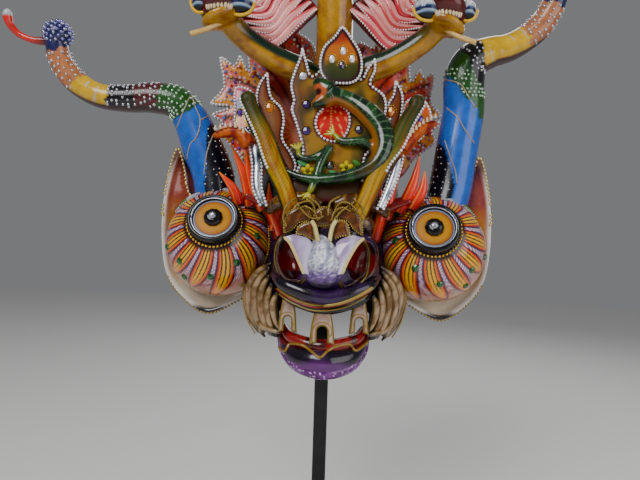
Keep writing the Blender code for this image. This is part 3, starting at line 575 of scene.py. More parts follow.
def turned(profile, eye, segments=72):
    """A turned body on the lamp's axis from rows of radius and height."""
    centre, look, across, up = eye
    angles = 2 * np.pi * np.arange(segments) / segments
    points = []
    for radius, height in profile:
        ring = (np.cos(angles)[:, None] * across + np.sin(angles)[:, None] * up) * max(radius, 0.05)
        points.append(centre + look * height + ring)
    faces = []
    for i in range(len(profile) - 1):
        for j in range(segments):
            k = (j + 1) % segments
            faces.append([i * segments + j, i * segments + k, (i + 1) * segments + k, (i + 1) * segments + j])
    faces.append(list(range(segments)))
    faces.append([(len(profile) - 1) * segments + j for j in range(segments)])
    return np.vstack(points), faces


def eye(side):
    """Eyeball with its lamp, beads and green stones."""
    ball, *axes = eyeball(side)
    base = LAMP_SEAT
    rise = [(COLLAR_RADIUS, base), (COLLAR_RADIUS, base + 8.6), (COLLAR_RADIUS - 0.8, base + 10.2),
            (COLLAR_RADIUS - 2.2, base + 11), (COLLAR_RADIUS - 4.2, base + 10.6), (22.2, base + 9), (22.1, base)]
    make("eye_collar_gloss_" + side, *turned(rise, axes), BLACK, "black", "collar_black", ("eye_collar_" + side,))
    disc = [(21.9, base), (21.9, base + 6.2), (20.8, base + 6.8), (20.2, base + 6.95), (19.7, base + 7.0),
            (19.2, base + 7.1), (18.7, base + 7.15), (17, base + 7.4), (15, base + 7.6), (10, base + 7.9), (0, base + 8)]
    points, faces = turned(disc, axes, 120)
    centre, look, across, up = axes
    out = points - centre
    radius = np.linalg.norm(out - (out @ look)[:, None] * look, axis=1)
    angle = np.arctan2(out @ up, out @ across)
    shade = ramp(radius, [(0, rgb(200, 150, 0)), (15, rgb(200, 148, 0)), (18.7, rgb(180, 116, 0)), (19.2, rgb(96, 54, 10)),
                          (19.7, rgb(150, 154, 176)), (20.8, rgb(170, 176, 196)), (21.5, rgb(90, 94, 120))])
    make("eye_disc_paint_" + side, points, faces, shade, "satin", "iris_yellow", ("eye_disc_" + side,))
    ring_rows = []
    for k in range(96):
        a = 2 * math.pi * k / 96
        ring_rows.append(centre + look * (base + 9.4) + 22.6 * (math.cos(a) * across + math.sin(a) * up))
    make("eye_ring_" + side, *line(np.array(ring_rows + ring_rows[:1]), 0.8, 8), rgb(186, 190, 206), "metal",
         "iris_yellow")
    top = base + 8.0
    dome = [(10, top - 1), (10.2, top + 1.2), (9.6, top + 3.0), (8.0, top + 4.6), (5.6, top + 5.6), (3.6, top + 6.0),
            (0, top + 6.1)]
    pieces = [(*turned(dome, axes, 10), BLACK)]
    stud = [(3.6, top + 5.6), (3.9, top + 6.8), (2.9, top + 8.0), (1.4, top + 8.5), (0, top + 8.5)]
    make("pupil_gloss_" + side, *joined(pieces), "black", "pupil_black", ("pupil_" + side,), True)
    make("pupil_stud_" + side, *turned(stud, axes, 9), rgb(176, 178, 190), "metal", "pupil_black", (), True)
    count = 46
    seat = math.sqrt(EYE_RADIUS ** 2 - COLLAR_RADIUS ** 2) - 0.6
    places = []
    for k in range(count):
        a = 2 * math.pi * k / count
        places.append(centre + look * (seat + 2.4 * max(math.sin(a), 0))
                      + (COLLAR_RADIUS + 1.35) * (math.cos(a) * across + math.sin(a) * up))
    beads("eye_beads_" + side, places, 1.65, rgb(226, 178, 50), slot="collar_black")
    sign = -1 if side == "left" else 1
    stones = []
    for u, v in crop(*EYE_STONES):
        place = on_plane(u, v, -18.0) - EYE_CENTRE * (-1, 1, 1)
        place[1] = -math.sqrt(max(EYE_RADIUS ** 2 - place[0] ** 2 - place[2] ** 2, 30.0))
        out = place * (-sign, 1, 1) / np.linalg.norm(place)
        along = np.cross(out, look)
        along /= np.linalg.norm(along)
        basis = np.stack([np.cross(along, out), along, out])
        points, faces = sphere(9, 5)
        stones.append(((points * (4.6, 4.0, 2.4)) @ basis + centre + out * (EYE_RADIUS + 0.2), faces, rgb(12, 104, 40)))
    make("eye_stones_" + side, *joined(stones), "gem", "eye_cream", (), True)
    chain = even(on_eye(axes[0], crop(*EYE_CHAINS[side]), 0.7), 3.0)
    beads("eye_chain_" + side, chain, 1.35, GOLD, slot="eye_cream")
    for n, rows in enumerate(EYE_LEAVES[side][1]):
        path = on_eye(axes[0], crop(EYE_LEAVES[side][0], rows), 1.0)
        widths = 0.4 + 2.6 * np.sin(np.pi * np.linspace(0.05, 0.95, len(path)))
        points, faces = tube(np.column_stack([path, widths]), 12, 1)[:2]
        make("eye_leaf_%s_%d" % (side, n), points, faces, LEAF_GREEN if n % 2 else rgb(170, 176, 190), "smooth",
             "eye_cream")
        beads("eye_leaf_beads_%s_%d" % (side, n), even(path, 2.6) - (0, 2.4, 0), 1.1, SILVER, slot="eye_cream")
    return ball, axes


# Ears

EAR_OUTLINE = [
    (175, 101), (184, 74), (190, 34), (190, -6), (184, -42), (167, -68), (137, -88),
    (106, -76), (76, -52), (66, 0), (76, 34), (120, 40), (154, 42), (163, 58), (167, 80),
]
EAR_CENTRE = np.array([124.0, -4.0])
EAR_EDGE_Y = 2.0
EAR_DEPTH = 26.0
EAR_WALL = 4.0


def ear(side):
    """Bowl behind the eye with a thick pearl lip, orange inside and dark points."""
    sign = -1 if side == "left" else 1
    outline = curve(EAR_OUTLINE, 11, closed=True)
    count = len(outline)
    shares = np.concatenate([np.linspace(0.05, 0.9, 22), np.linspace(0.92, 1.0, 8)])
    layers = []
    for back in (0, 1):
        for share in shares:
            lip = 1.6 * math.sin(math.pi * min(max((share - 0.9) / 0.1, 0), 1)) if not back else 0
            y = EAR_EDGE_Y + EAR_DEPTH * (1 - share ** 2) + back * EAR_WALL - lip
            xz = EAR_CENTRE + (outline - EAR_CENTRE) * share
            layers.append(np.column_stack([sign * xz[:, 0], np.full(count, y), xz[:, 1]]))
    front, rear = layers[:len(shares)], layers[len(shares):]
    order = front + rear[::-1]
    points = np.vstack(order)
    faces = []
    for i in range(len(order) - 1):
        for j in range(count):
            k = (j + 1) % count
            faces.append([i * count + j, i * count + k, (i + 1) * count + k, (i + 1) * count + j])
    faces.append(list(range(count)))
    faces.append([(len(order) - 1) * count + j for j in range(count)])
    share = np.repeat(list(shares) + list(shares[::-1]), count)
    place = np.tile(np.arange(count) / count, len(order))
    x, z = sign * points[:, 0], points[:, 2]
    colour = mix(PEARL, rgb(214, 150, 60), step(0.93 - share, 0.0, 0.07))
    colour = mix(colour, rgb(176, 84, 62), step(z, 30, 34) * step(0.95 - share, 0, 0.05))
    colour = mix(colour, rgb(92, 40, 26), step(z, 76, 22) * 0.9)
    colour = mix(colour, rgb(222, 216, 210), step(-z, 52, 16) * step(share, 0.62, 0.1))
    colour = mix(colour, rgb(40, 34, 32), step(-z, 80.5, 5) * step(share, 0.93, 0.03))
    colour = mix(colour, rgb(236, 214, 170), step(-z, 28, 20) * step(0.93 - share, 0, 0.03) * 0.5)
    piece = make("ear_pearl_" + side, points, faces, colour, "pearl", "ear_pearl", ("ear_" + side,))
    rim = np.column_stack([sign * outline[:, 0], np.full(count, EAR_EDGE_Y + 0.2), outline[:, 1]])
    top = rim[(rim[:, 2] > 22) & (sign * rim[:, 0] > 150)]
    order = np.argsort(np.arctan2(top[:, 2] - 60, sign * top[:, 0] - 172))
    chain = even(top[order], 4.4)
    span = np.linalg.norm(chain[:, None, [0, 2]] - rim[None, :, [0, 2]], axis=2).min(axis=1)
    beads("ear_beads_top_" + side, chain[span < 1.5], 1.75, rgb(226, 200, 120), slot="ear_pearl")
    low = rim[(rim[:, 2] < -46) & (sign * rim[:, 0] > 84)]
    order = np.argsort(sign * low[:, 0])
    chain = even(low[order], 4.2) + (0, 0.5, -0.8)
    beads("ear_beads_low_" + side, chain, 1.6, rgb(170, 140, 76), slot="ear_pearl")
    lip = np.vstack([rim[(rim[:, 2] < 60) & (sign * rim[:, 0] > 100)]])
    return piece


# Horns: x, depth, height, radius

HORN_LEFT = [
    (-129, 6, 44, 24), (-135, 9, 74, 24), (-147, 10, 102, 23.5), (-162, 8, 136, 20.5), (-178, 4, 154, 18.5),
    (-205, 1, 158, 17), (-235, -3, 155, 15), (-264, -7, 157, 13.5), (-289, -12, 171, 13),
    (-303, -16, 190, 12.5), (-307, -19, 208, 12), (-306, -20, 220, 11),
]
HORN_RIGHT = [
    (138, 6, 44, 24), (144, 9, 69, 24.5), (150, 10, 111, 24), (156, 9, 155, 23.5), (155, 6, 190, 23),
    (162, 3, 212, 20.5), (182, 0, 222, 17.5), (200, -4, 226, 15.5), (216, -8, 234, 14.5),
    (232, -12, 247, 14), (244, -16, 266, 13), (250, -19, 286, 12), (250, -20, 297, 11),
]
HORN_TIP_LEFT = [
    (-308, -20, 213, 5), (-323, -20, 212, 4.5), (-336, -22, 213, 3.5), (-348, -24, 218, 3.5),
    (-355, -27, 226, 4), (-357, -29, 233, 5), (-357, -30, 239, 4.5), (-357, -30, 242, 2),
]
HORN_TIP_RIGHT = [
    (252, -20, 290, 5), (267, -20, 289, 4.5), (280, -22, 290, 3.5), (292, -24, 295, 3.5), (299, -27, 303, 4),
    (301, -29, 310, 5), (301, -30, 316, 4.5), (301, -30, 319, 2),
]
# Where along each horn one painted band ends and the next begins
BANDS = {
    "left": (("blue", 0.0), ("green", 0.36), ("maroon", 0.48), ("black", 0.585), ("yellow", 0.68), ("tan", 0.80), ("knob", 0.94)),
    "right": (("blue", 0.0), ("green", 0.4), ("black", 0.515), ("yellow", 0.60), ("tan", 0.765), ("knob", 0.91)),
}
BAND_PAINT = {
    "blue": BLUE, "green": rgb(48, 106, 40), "maroon": rgb(104, 34, 34), "black": rgb(20, 18, 26),
    "yellow": rgb(222, 184, 0), "tan": TAN, "knob": rgb(52, 54, 110),
}
STUDDED = {"green": 5.4, "maroon": 6.4, "black": 6.0, "tan": 7.4, "knob": 4.2}
HORN_SIDES = 72
VEINS = {
    "left": (((0, 0), 4), [[(765, 378), (782, 430), (801, 480), (788, 545), (760, 580), (745, 650)],
                           [(706, 515), (733, 445), (760, 385)], [(801, 480), (850, 455)],
                           [(852, 540), (828, 610), (815, 700)]]),
    "right": (((420, 0), 4), [[(100, 318), (160, 335), (190, 380), (218, 430)],
                              [(104, 430), (150, 470), (180, 520), (218, 575)],
                              [(98, 560), (118, 620), (140, 680), (148, 735)]]),
}


def along_horn(points, rows):
    """Share of the horn's length at points near it."""
    path = curve(rows, 24)[:, :3]
    length = np.concatenate([[0], np.cumsum(np.linalg.norm(np.diff(path, axis=0), axis=1))])
    index = np.array([np.argmin(np.linalg.norm(path - p, axis=1)) for p in points])
    return length[index] / length[-1]


def horn(side):
    """Horn in painted bands that spiral round it, with studs, a knob and a thin red tip."""
    rows, tip, sign = (HORN_LEFT, HORN_TIP_LEFT, -1) if side == "left" else (HORN_RIGHT, HORN_TIP_RIGHT, 1)
    points, faces, share, around = tube(rows, HORN_SIDES, 18)
    path = curve(rows, 18)
    length = np.concatenate([[0], np.cumsum(np.linalg.norm(np.diff(path[:, :3], axis=0), axis=1))])
    share = np.repeat(length / length[-1], HORN_SIDES)
    centre = np.repeat(path[:, :3], HORN_SIDES, axis=0)
    out = points - centre
    out /= np.linalg.norm(out, axis=1)[:, None]
    wave = 0.012 * noise(points, 9, 3)
    names = [name for name, start in BANDS[side]]
    starts = np.array([start for name, start in BANDS[side]])
    slant = 0.022 * out[:, 2] * (share < 0.5) + (0.012 if side == "left" else 0.09) * out[:, 0] * sign * (share < 0.55)
    index = np.clip(np.searchsorted(starts, share + wave + slant, side="right") - 1, 0, len(names) - 1)
    paints = np.array([BAND_PAINT[name] for name in names])
    colour = paints[index]
    is_blue = np.array(names)[index] == "blue"
    inner = -sign * out[:, 0]
    coil = inner - 0.15 - 3.4 * (0.17 - share) * step(0.2 - share, 0, 0.02)
    edge = 0.05 if side == "left" else 0.36
    navy_side = is_blue & (inner - 0.35 * out[:, 1] > edge + 4.2 * np.maximum(share - 0.06, 0))
    colour[navy_side] = rgb(20, 22, 48)
    # Painted shade: the underside of the horn is darkened a little
    shade = step(-out[:, 2] * sign * 0 - out[:, 2], 0.3, 0.8) * 0.3
    yellow = np.array(names)[index] == "yellow"
    stripe = np.abs(((share * 22 + 0.25 * np.sin(around)) % 1.0) - 0.5) < 0.04
    colour[yellow & stripe & (noise(points, 6, 3) > -0.2)] = rgb(190, 190, 190)
    under = step(-out[:, 2] + 0.2 * out[:, 1], 0.62, 0.12) * step(share, 0.42, 0.04) * step(0.93 - share, 0, 0.05)
    colour = mix(colour, rgb(78, 26, 26), under)
    colour = mix(colour, colour * 0.75, shade)
    slot_name = "horn_blue"
    knob_points, knob_faces = ellipsoid(rows[-1][:3], (14.5,) * 3, (0, 0, 0), 48, 32)
    tip_points, tip_faces, tip_share, tip_around = tube(tip, 24, 14)
    tip_colour = ramp(tip_share, [(0, rgb(38, 36, 80)), (0.08, rgb(60, 40, 80)), (0.14, rgb(150, 60, 50)), (0.3, rgb(214, 52, 40)),
                                  (0.74, rgb(222, 60, 48)), (0.78, rgb(196, 196, 200)), (1, rgb(214, 214, 218))])
    body = make("horn_paint_" + side, *joined([(points, faces, colour), (knob_points, knob_faces, BAND_PAINT["knob"]),
                                               (tip_points, tip_faces, tip_colour)]), "lacquer", slot_name,
                ("horn_" + side,))
    target = surface(body)
    for n, rows_of_pixels in enumerate(VEINS[side][1]):
        outline_rope("horn_vein_%s_%d" % (side, n), target, crop(VEINS[side][0], rows_of_pixels), 0.8,
                     rgb(176, 160, 140), 0.1, "smooth", "horn_blue")
    spots, sizes, shades = [], [], []
    for name, start in BANDS[side]:
        after = [s for s in starts if s > start]
        stop = after[0] if after else 1.0
        spacing = STUDDED.get(name)
        if name == "blue":
            spacing = 9.0
        if not spacing or name == "knob":
            continue
        travel = np.arange(start * length[-1] + spacing / 2, stop * length[-1], spacing * 0.9)
        for row_number, distance in enumerate(travel):
            at = int(np.searchsorted(length, distance).clip(1, len(length) - 1))
            radius = path[at, 3]
            around_count = max(int(2 * math.pi * radius / spacing), 5)
            for k in range(around_count):
                angle = 2 * math.pi * (k + 0.5 * (row_number % 2) + rng.uniform(-.3, .3)) / around_count
                column = int(angle / (2 * math.pi) * HORN_SIDES) % HORN_SIDES
                vertex = at * HORN_SIDES + column
                if name == "blue" and not navy_side[vertex]:
                    continue
                if name != "blue" and (names[index[vertex]] != name or under[vertex] > 0.5):
                    continue
                spots.append(points[vertex])
                sizes.append(1.2 if name == "blue" else rng.uniform(1.5, 1.95))
                shades.append(SILVER if name != "green" else mix(SILVER, rgb(150, 200, 140), 0.5))
    knob_centre = np.array(rows[-1][:3], float)
    golden = math.pi * (3 - math.sqrt(5))
    for k in range(96):
        h = 1 - 2 * (k + 0.5) / 96
        r = math.sqrt(1 - h * h)
        direction = np.array([r * math.cos(golden * k), r * math.sin(golden * k), h])
        spots.append(knob_centre + 14.6 * direction)
        sizes.append(2.0)
        shades.append(mix(SILVER, rgb(110, 110, 196), 0.75 if k % 3 else 0.3))
    beads("horn_studs_" + side, spots, sizes, shades, "metal", slot_name)
    return body


# Face stations: height, half width, front, back rim, sharpness of the cheek

FACE_STATIONS = [
    (-131, 22, -68, -10, 1.0), (-120, 40, -78, -2, 0.9), (-100, 60, -76, 6, 0.75), (-76, 75, -70, 12, 0.7),
    (-50, 81, -66, 22, 0.8), (-22, 84, -66, 36, 1.25), (12, 88, -63, 48, 1.4), (50, 90, -56, 54, 1.1),
    (84, 80, -46, 54, 1.0), (108, 56, -26, 52, 1.0), (119, 26, 2, 46, 1.0),
]
WALL = 5.0
MOUTH = (50.0, 22.0, -86.0)
NOSTRIL_TURN = math.radians(14)
UPPER_LIP = [(-54, -64, -36, 4), (-38, -86, -46, 7), (0, -93, -56, 7.5), (38, -86, -46, 7), (54, -64, -36, 4)]
UPPER_GUM = [(-49, -62, -50, 3), (-35, -77, -59, 6), (0, -85, -68, 6), (35, -77, -59, 6), (49, -62, -50, 3)]
INNER_LIP = [(-42, -54, -92, 4), (-31, -70, -101, 6), (0, -81, -106, 7), (31, -70, -101, 6), (42, -54, -92, 4)]
LOWER_LIP = [
    (-44, -52, -98, 4), (-38, -58, -107, 8), (-24, -72, -118, 12), (0, -81, -121, 14), (24, -72, -118, 12),
    (38, -58, -107, 8), (44, -52, -98, 4),
]
FACE_CROP = ((255, 195), 8)
LEFT_CROP = ((205, 20), 9)
RIGHT_CROP = ((310, 20), 9)
TOP_CROP = ((185, 0), 6)


def crop(corner_and_zoom, rows):
    """Pixels of the photograph that were read off an enlarged crop of it."""
    (x, y), zoom = corner_and_zoom
    return [(x + u / zoom, y + v / zoom) for u, v in rows]


def face_rings(stations, inset, arc, reach=0.0):
    """Front arcs from rim to rim, and straight back where a reach is given."""
    rings = []
    for height, half_width, front, rim, sharpness in stations:
        angle = np.pi * (np.arange(arc) / (arc - 1) - 0.5)
        depth = (rim - front - inset) * np.maximum(np.cos(angle), 0.0) ** sharpness
        ring = np.column_stack([(half_width - inset) * np.sin(angle), rim - depth, np.full(arc, height)])
        if reach:
            ends = ring[[-1, 0]] + (0, reach, 0)
            ring = np.vstack([ring, ends])
        rings.append(ring)
    return rings


def loft(rings):
    """A closed body through rings of equal length."""
    count = len(rings[0])
    faces = []
    for i in range(len(rings) - 1):
        for j in range(count):
            k = (j + 1) % count
            faces.append([i * count + j, i * count + k, (i + 1) * count + k, (i + 1) * count + j])
    faces.append(list(range(count)))
    faces.append([(len(rings) - 1) * count + j for j in range(count)])
    return np.vstack(rings), faces


def plain(name, parts):
    """An unpainted object from closed bodies."""
    points, faces, _ = joined([(p, f, BLACK) for p, f in parts])
    mesh = bpy.data.meshes.new(name)
    mesh.from_pydata(((points + (0, 0, EYE_LINE)) * MM).tolist(), [], faces)
    bm = bmesh.new()
    bm.from_mesh(mesh)
    bmesh.ops.recalc_face_normals(bm, faces=bm.faces)
    bmesh.ops.triangulate(bm, faces=bm.faces)
    bm.to_mesh(mesh)
    bm.free()
    thing = bpy.data.objects.new(name, mesh)
    bpy.context.scene.collection.objects.link(thing)
    return thing


def sculpted(name, parts, voxel, rounds, cuts=()):
    """One skin drawn over overlapping bodies, softened, with hollows cut out: points in mm and faces."""
    thing = plain(name, parts)
    skin = thing.modifiers.new("skin", "REMESH")
    skin.mode = "VOXEL"
    skin.voxel_size = voxel * MM
    soft = thing.modifiers.new("soft", "SMOOTH")
    soft.iterations = rounds
    tools = []
    for cut in cuts:
        tool = plain("cut", [cut])
        tools.append(tool)
        hollow = thing.modifiers.new("hollow", "BOOLEAN")
        hollow.operation = "DIFFERENCE"
        hollow.solver = "MANIFOLD"
        hollow.object = tool
    bpy.context.view_layer.update()
    mesh = bpy.data.meshes.new_from_object(thing.evaluated_get(bpy.context.evaluated_depsgraph_get()))
    points = np.empty(len(mesh.vertices) * 3)
    mesh.vertices.foreach_get("co", points)
    faces = [list(polygon.vertices) for polygon in mesh.polygons]
    for tool in [thing, *tools]:
        bpy.data.objects.remove(tool, do_unlink=True)
    return points.reshape(-1, 3) / MM - (0, 0, EYE_LINE), faces


def face():
    """Skull, snout and brow as one hollow skin, painted by region."""
    stations = curve(FACE_STATIONS, 8)
    parts = [loft(face_rings(stations, 0.0, 81)), ellipsoid((0, -60, -30), (56, 34, 33))]
    parts.append(tube([(0, -60, 20, 10), (0, -76, 6, 12), (0, -86, -10, 14), (0, -84, -24, 16)], 24, 8)[:2])
    for side in (-1, 1):
        parts += [
            ellipsoid((side * 33, -79, -19), (19, 18, 27), (0, side * NOSTRIL_TURN, 0)),
            ellipsoid((side * 29, -68, 20), (20, 13, 11), (0, side * math.radians(14), 0)),
            tube([(side * 6, -68, 36, 5), (side * 22, -66, 42, 7), (side * 46, -58, 40, 8), (side * 64, -46, 30, 6)],
                 16, 8)[:2],
        ]
    mouth_width, mouth_height, mouth_z = MOUTH
    angles = 2 * np.pi * np.arange(64) / 64
    c, s = np.cos(angles), np.sin(angles)
    oblong = np.column_stack([mouth_width * np.sign(c) * np.abs(c) ** 0.8, np.zeros(64),
                              mouth_z + mouth_height * np.sign(s) * np.abs(s) ** 0.8])
    cuts = [loft([oblong + (0, depth, 0) for depth in np.linspace(-120, -50, 12)])]
    inner = curve(FACE_STATIONS[1:-1], 5)
    cuts.append(loft(face_rings(inner, WALL, 41, 40.0)))
    holes = [((side * 35, -99, -20), (14, 26, 21.5)) for side in (-1, 1)]
    for side, (centre, radii) in zip((-1, 1), holes):
        cuts.append(ellipsoid(centre, radii, (0, side * NOSTRIL_TURN, 0), 48, 32))
    points, faces = sculpted("skin", parts, 1.6, 3, cuts)
    x, y, z = points.T
    colour = mix(rgb(26, 12, 32), rgb(56, 26, 76), step(noise(points, 26, 1), 0.1, 1.0))
    muzzle = step(24 - np.abs(x + 3), 0, 8) * step(-z, 30, 8) * step(-y, 84, 6)
    colour = mix(colour, rgb(84, 46, 116), muzzle * 0.85)
    brow = step(z, 14, 8) * step(84 - z, 0, 6) * step(-y, 36, 8)
    colour = mix(colour, rgb(92, 58, 24), brow)
    colour = mix(colour, rgb(158, 120, 44), brow * step(noise(points, 4, 4), 0.3, 0.4) * 0.8)
    hole = np.minimum(*[np.linalg.norm((points - centre) / (np.array(radii) + 0.7), axis=1)
                        for centre, radii in holes])
    inside = step(1.02 - hole, 0, 0.03)
    colour = mix(colour, rgb(132, 10, 20), inside)
    colour = mix(colour, rgb(40, 12, 22), inside * step(-z, 31, 5))
    mouth_in = (np.abs(x) < 52) & (z > -110) & (z < -62) & (y < -40)
    colour = mix(colour, rgb(60, 12, 18), mouth_in)
    return make("face_skin", points, faces, colour, "smooth", "face_purple", ("face_shell",))


def patch(name, rim, inner, depths, thickness, colour, material, slot):
    """A curved sheet between two lines of pixels, each at its own run of depths."""
    a = np.array([on_plane(u, v, d) for (u, v), d in zip(curve(rim, 6), np.linspace(*depths[0], 6 * len(rim)))])
    b = np.array([on_plane(u, v, d) for (u, v), d in zip(curve(inner, 6), np.linspace(*depths[1], 6 * len(inner)))])
    a, b = even(a, np.linalg.norm(np.diff(a, axis=0), axis=1).sum() / 24), even(
        b, np.linalg.norm(np.diff(b, axis=0), axis=1).sum() / 24)
    rings = []
    for p, q in zip(a, b):
        shares = np.linspace(0, 1, 9)[:, None]
        front = p + (q - p) * shares - np.array([0, 2.2, 0]) * np.sin(np.pi * shares)
        rings.append(np.vstack([front, front[::-1] + (0, thickness, 0)]))
    points, faces = loft(rings)
    shade = colour(points) if callable(colour) else colour
    return make(name, points, faces, shade, material, slot), a


def nose():
    """Glittering bulb and its two swept wings with cream rims."""
    rows = [(-2, -62, 18, 5), (-3, -76, 6, 8), (-3, -86, -6, 13), (-3, -90, -18, 18), (-3, -89, -28, 20),
            (-3, -84, -38, 18)]
    points, faces, share, around = tube(rows, 56, 14)
    z = points[:, 2]
    silver = mix(rgb(176, 178, 206), rgb(236, 234, 246), step(noise(points, 3.0, 2), 0.1, 0.9))
    # Random specks stand for the glitter's flakes: darker flakes, and white ones that are painted glints
    glint = rng.random(len(points))
    silver = mix(silver, rgb(110, 110, 150), step(glint, 0.78, 0.1) * 0.7)
    silver = mix(silver, rgb(255, 255, 255), step(0.2 - glint, 0, 0.1))
    low = mix(rgb(96, 66, 132), rgb(140, 110, 176), step(noise(points, 4, 5), 0, 1))
    # Pale specks in the purple are painted glints too
    low = mix(low, rgb(214, 200, 240), step(0.1 - glint, 0, 0.05))
    colour = mix(silver, low, step(-z, 28, 8))
    colour = mix(colour, rgb(44, 22, 58), step(-z, 40, 6))
    make("nose_bulb", points, faces, colour, "glitter", "face_purple")
    wings = {
        "left": (([(284, 237), (290, 243), (298, 260), (304, 274)], [(295, 234), (310, 240), (316, 256), (312, 275)])),
        "right": (([(364, 238), (357, 245), (348, 260), (342, 274)], [(353, 235), (338, 241), (331, 256), (335, 275)])),
    }

    def sheen(points):
        tone = step(noise(points, 12, 7), 0, 1.2)
        return mix(rgb(170, 146, 190), rgb(226, 222, 244), tone)

    for side, (rim, inner) in wings.items():
        sheet, edge = patch("nose_wing_" + side, rim, inner, ((-96, -103), (-90, -104)), 3.0, sheen, "pearl",
                            "face_purple")
        make("nose_wing_rim_" + side, *line(edge - (0, 0.6, 0), 1.7, 10), rgb(222, 206, 150), "smooth", "face_purple")


def flat_outline(pixels, depth):
    """Places and heights of pixels on an upright plane."""
    return [tuple(on_plane(u, v, depth)[[0, 2]]) for u, v in pixels]


def badge(name, pixels, depth, thickness, rise, shades, slot, bead=None, spacing=1.1, material="smooth"):
    """A small raised leaf of two shades, facing the photograph, with beads round it."""
    outline = flat_outline(pixels, depth)

    def flat(z):
        return np.full(len(np.atleast_1d(z)), depth) if np.ndim(z) else depth

    def paint(x, z, d):
        points = np.column_stack([x, np.zeros(len(x)), z])
        return mix(shades[1], mix(shades[0], shades[0] * 1.8, step(noise(points, 4, 3), 0.3, 0.5)), step(d, 1.6, 1.0))

    relief(name, outline, flat, thickness, rise, paint, material, slot, (), spacing, 3.0, 4)
    if bead is not None:
        rim_beads(name + "_beads", outline, flat, 2.5, 0.95, bead, 0.3, slot, 0.6)


def rope(name, pixels, depths, radius, colour, slot, bead_every=2.2, bead_colour=None):
    """A feeler in the open air: a thin stem with a row of beads on it."""
    line_px = curve(pixels, 8)
    path = np.array([on_plane(u, v, d) for (u, v), d in zip(line_px, np.linspace(*depths, len(line_px)))])
    make(name, *line(path, radius, 8), colour, "smooth", slot)
    beads(name + "_beads", even(path, bead_every) - (0, radius * 0.8, 0), radius * 0.75,
          colour * 1.3 if bead_colour is None else bead_colour, slot=slot)


def outline_rope(name, carrier, pixels, radius, colour, lift=0.4, material="lacquer", slot="face_purple",
                 closed=False, steps=6):
    """A thin raised line on a surface, under a line of pixels."""
    path = trace(carrier, pixels, 1.6, lift, closed, steps)
    if len(path) < 3:
        return None
    return make(name, *line(path, radius, 7), colour, material, slot)


def face_details(skin):
    """Gold lines, petals, brow leaves, feelers and bead chains round the snout, placed by the photograph."""
    target = surface(skin)
    nose()
    lines = [
        ("nostril_rim_left", [(225, 330), (185, 420), (180, 540), (240, 660), (350, 690), (400, 650)], 1.5,
         rgb(96, 70, 60)),
        ("nostril_rim_right", [(855, 350), (900, 450), (890, 600), (850, 660), (720, 730), (670, 650)], 1.5,
         rgb(96, 70, 60)),
        ("nostril_gold_left", [(212, 330), (170, 420), (165, 545), (230, 680), (350, 712), (410, 665)], 0.9,
         OLIVE_GOLD),
        ("nostril_gold_right", [(868, 350), (915, 450), (905, 610), (860, 688), (720, 754), (660, 665)], 0.9,
         OLIVE_GOLD),
    ]
    for name, pixels, radius, colour in lines:
        outline_rope(name, target, crop(FACE_CROP, pixels), radius, colour)
    dark, olive = rgb(106, 66, 28), rgb(150, 122, 50)
    petals = {
        "petal_left": ([(330, 312), (332, 285), (345, 250), (390, 222), (452, 212), (470, 250), (482, 310), (492, 372),
                        (430, 345), (380, 320)], -90),
        "petal_right": ([(612, 372), (618, 310), (632, 250), (650, 205), (700, 205), (742, 232), (756, 285), (756, 330),
                         (710, 330), (660, 345)], -90),
        "brow_left": ([(228, 300), (236, 220), (265, 140), (330, 100), (410, 105), (450, 150), (430, 205), (350, 225),
                       (320, 262), (280, 290)], -82),
        "brow_right": ([(862, 320), (852, 220), (822, 140), (760, 100), (690, 105), (640, 150), (668, 195), (745, 215),
                        (775, 262), (815, 300)], -82),
        "brow_middle": ([(470, 240), (470, 150), (520, 100), (570, 95), (620, 140), (620, 230), (560, 250)], -84),
    }
    for name, (pixels, depth) in petals.items():
        badge(name, crop(FACE_CROP, pixels), depth, 16, 2.6, (dark, olive), "face_purple", rgb(190, 166, 90))
    for name, pixels in {"ridge_left": [(452, 205), (478, 250), (492, 310), (508, 372)],
                         "ridge_right": [(650, 200), (622, 250), (606, 310), (598, 372)]}.items():
        path = np.array([on_plane(u, v, d) for (u, v), d in
                         zip(curve(crop(FACE_CROP, pixels), 8), np.linspace(-93, -98, 25))])
        make(name, *line(path, 2.2, 12), rgb(214, 200, 140), "smooth", "face_purple")
    gold = rgb(150, 124, 54)
    feelers = {
        "feeler_1": [(548, 170), (500, 190), (440, 180), (385, 130), (330, 60)],
        "feeler_2": [(530, 160), (522, 110), (490, 60), (420, 20)],
        "feeler_3": [(585, 160), (590, 100), (610, 50), (680, 10)],
        "feeler_4": [(640, 190), (670, 150), (710, 115), (800, 50)],
        "feeler_5": [(300, 120), (350, 70), (430, 50), (470, 90), (480, 150)],
        "feeler_6": [(820, 130), (760, 70), (690, 60), (650, 100), (640, 150)],
        "feeler_7": [(250, 250), (225, 180), (250, 90), (320, 30)],
        "feeler_8": [(850, 250), (872, 180), (850, 90), (790, 30)],
        "feeler_9": [(500, 200), (470, 130), (400, 90), (350, 110)],
        "feeler_10": [(610, 200), (640, 130), (700, 100), (760, 130)],
    }
    for name, pixels in feelers.items():
        rope(name, crop(FACE_CROP, pixels), (-90, -84), 1.15, gold, "face_purple")


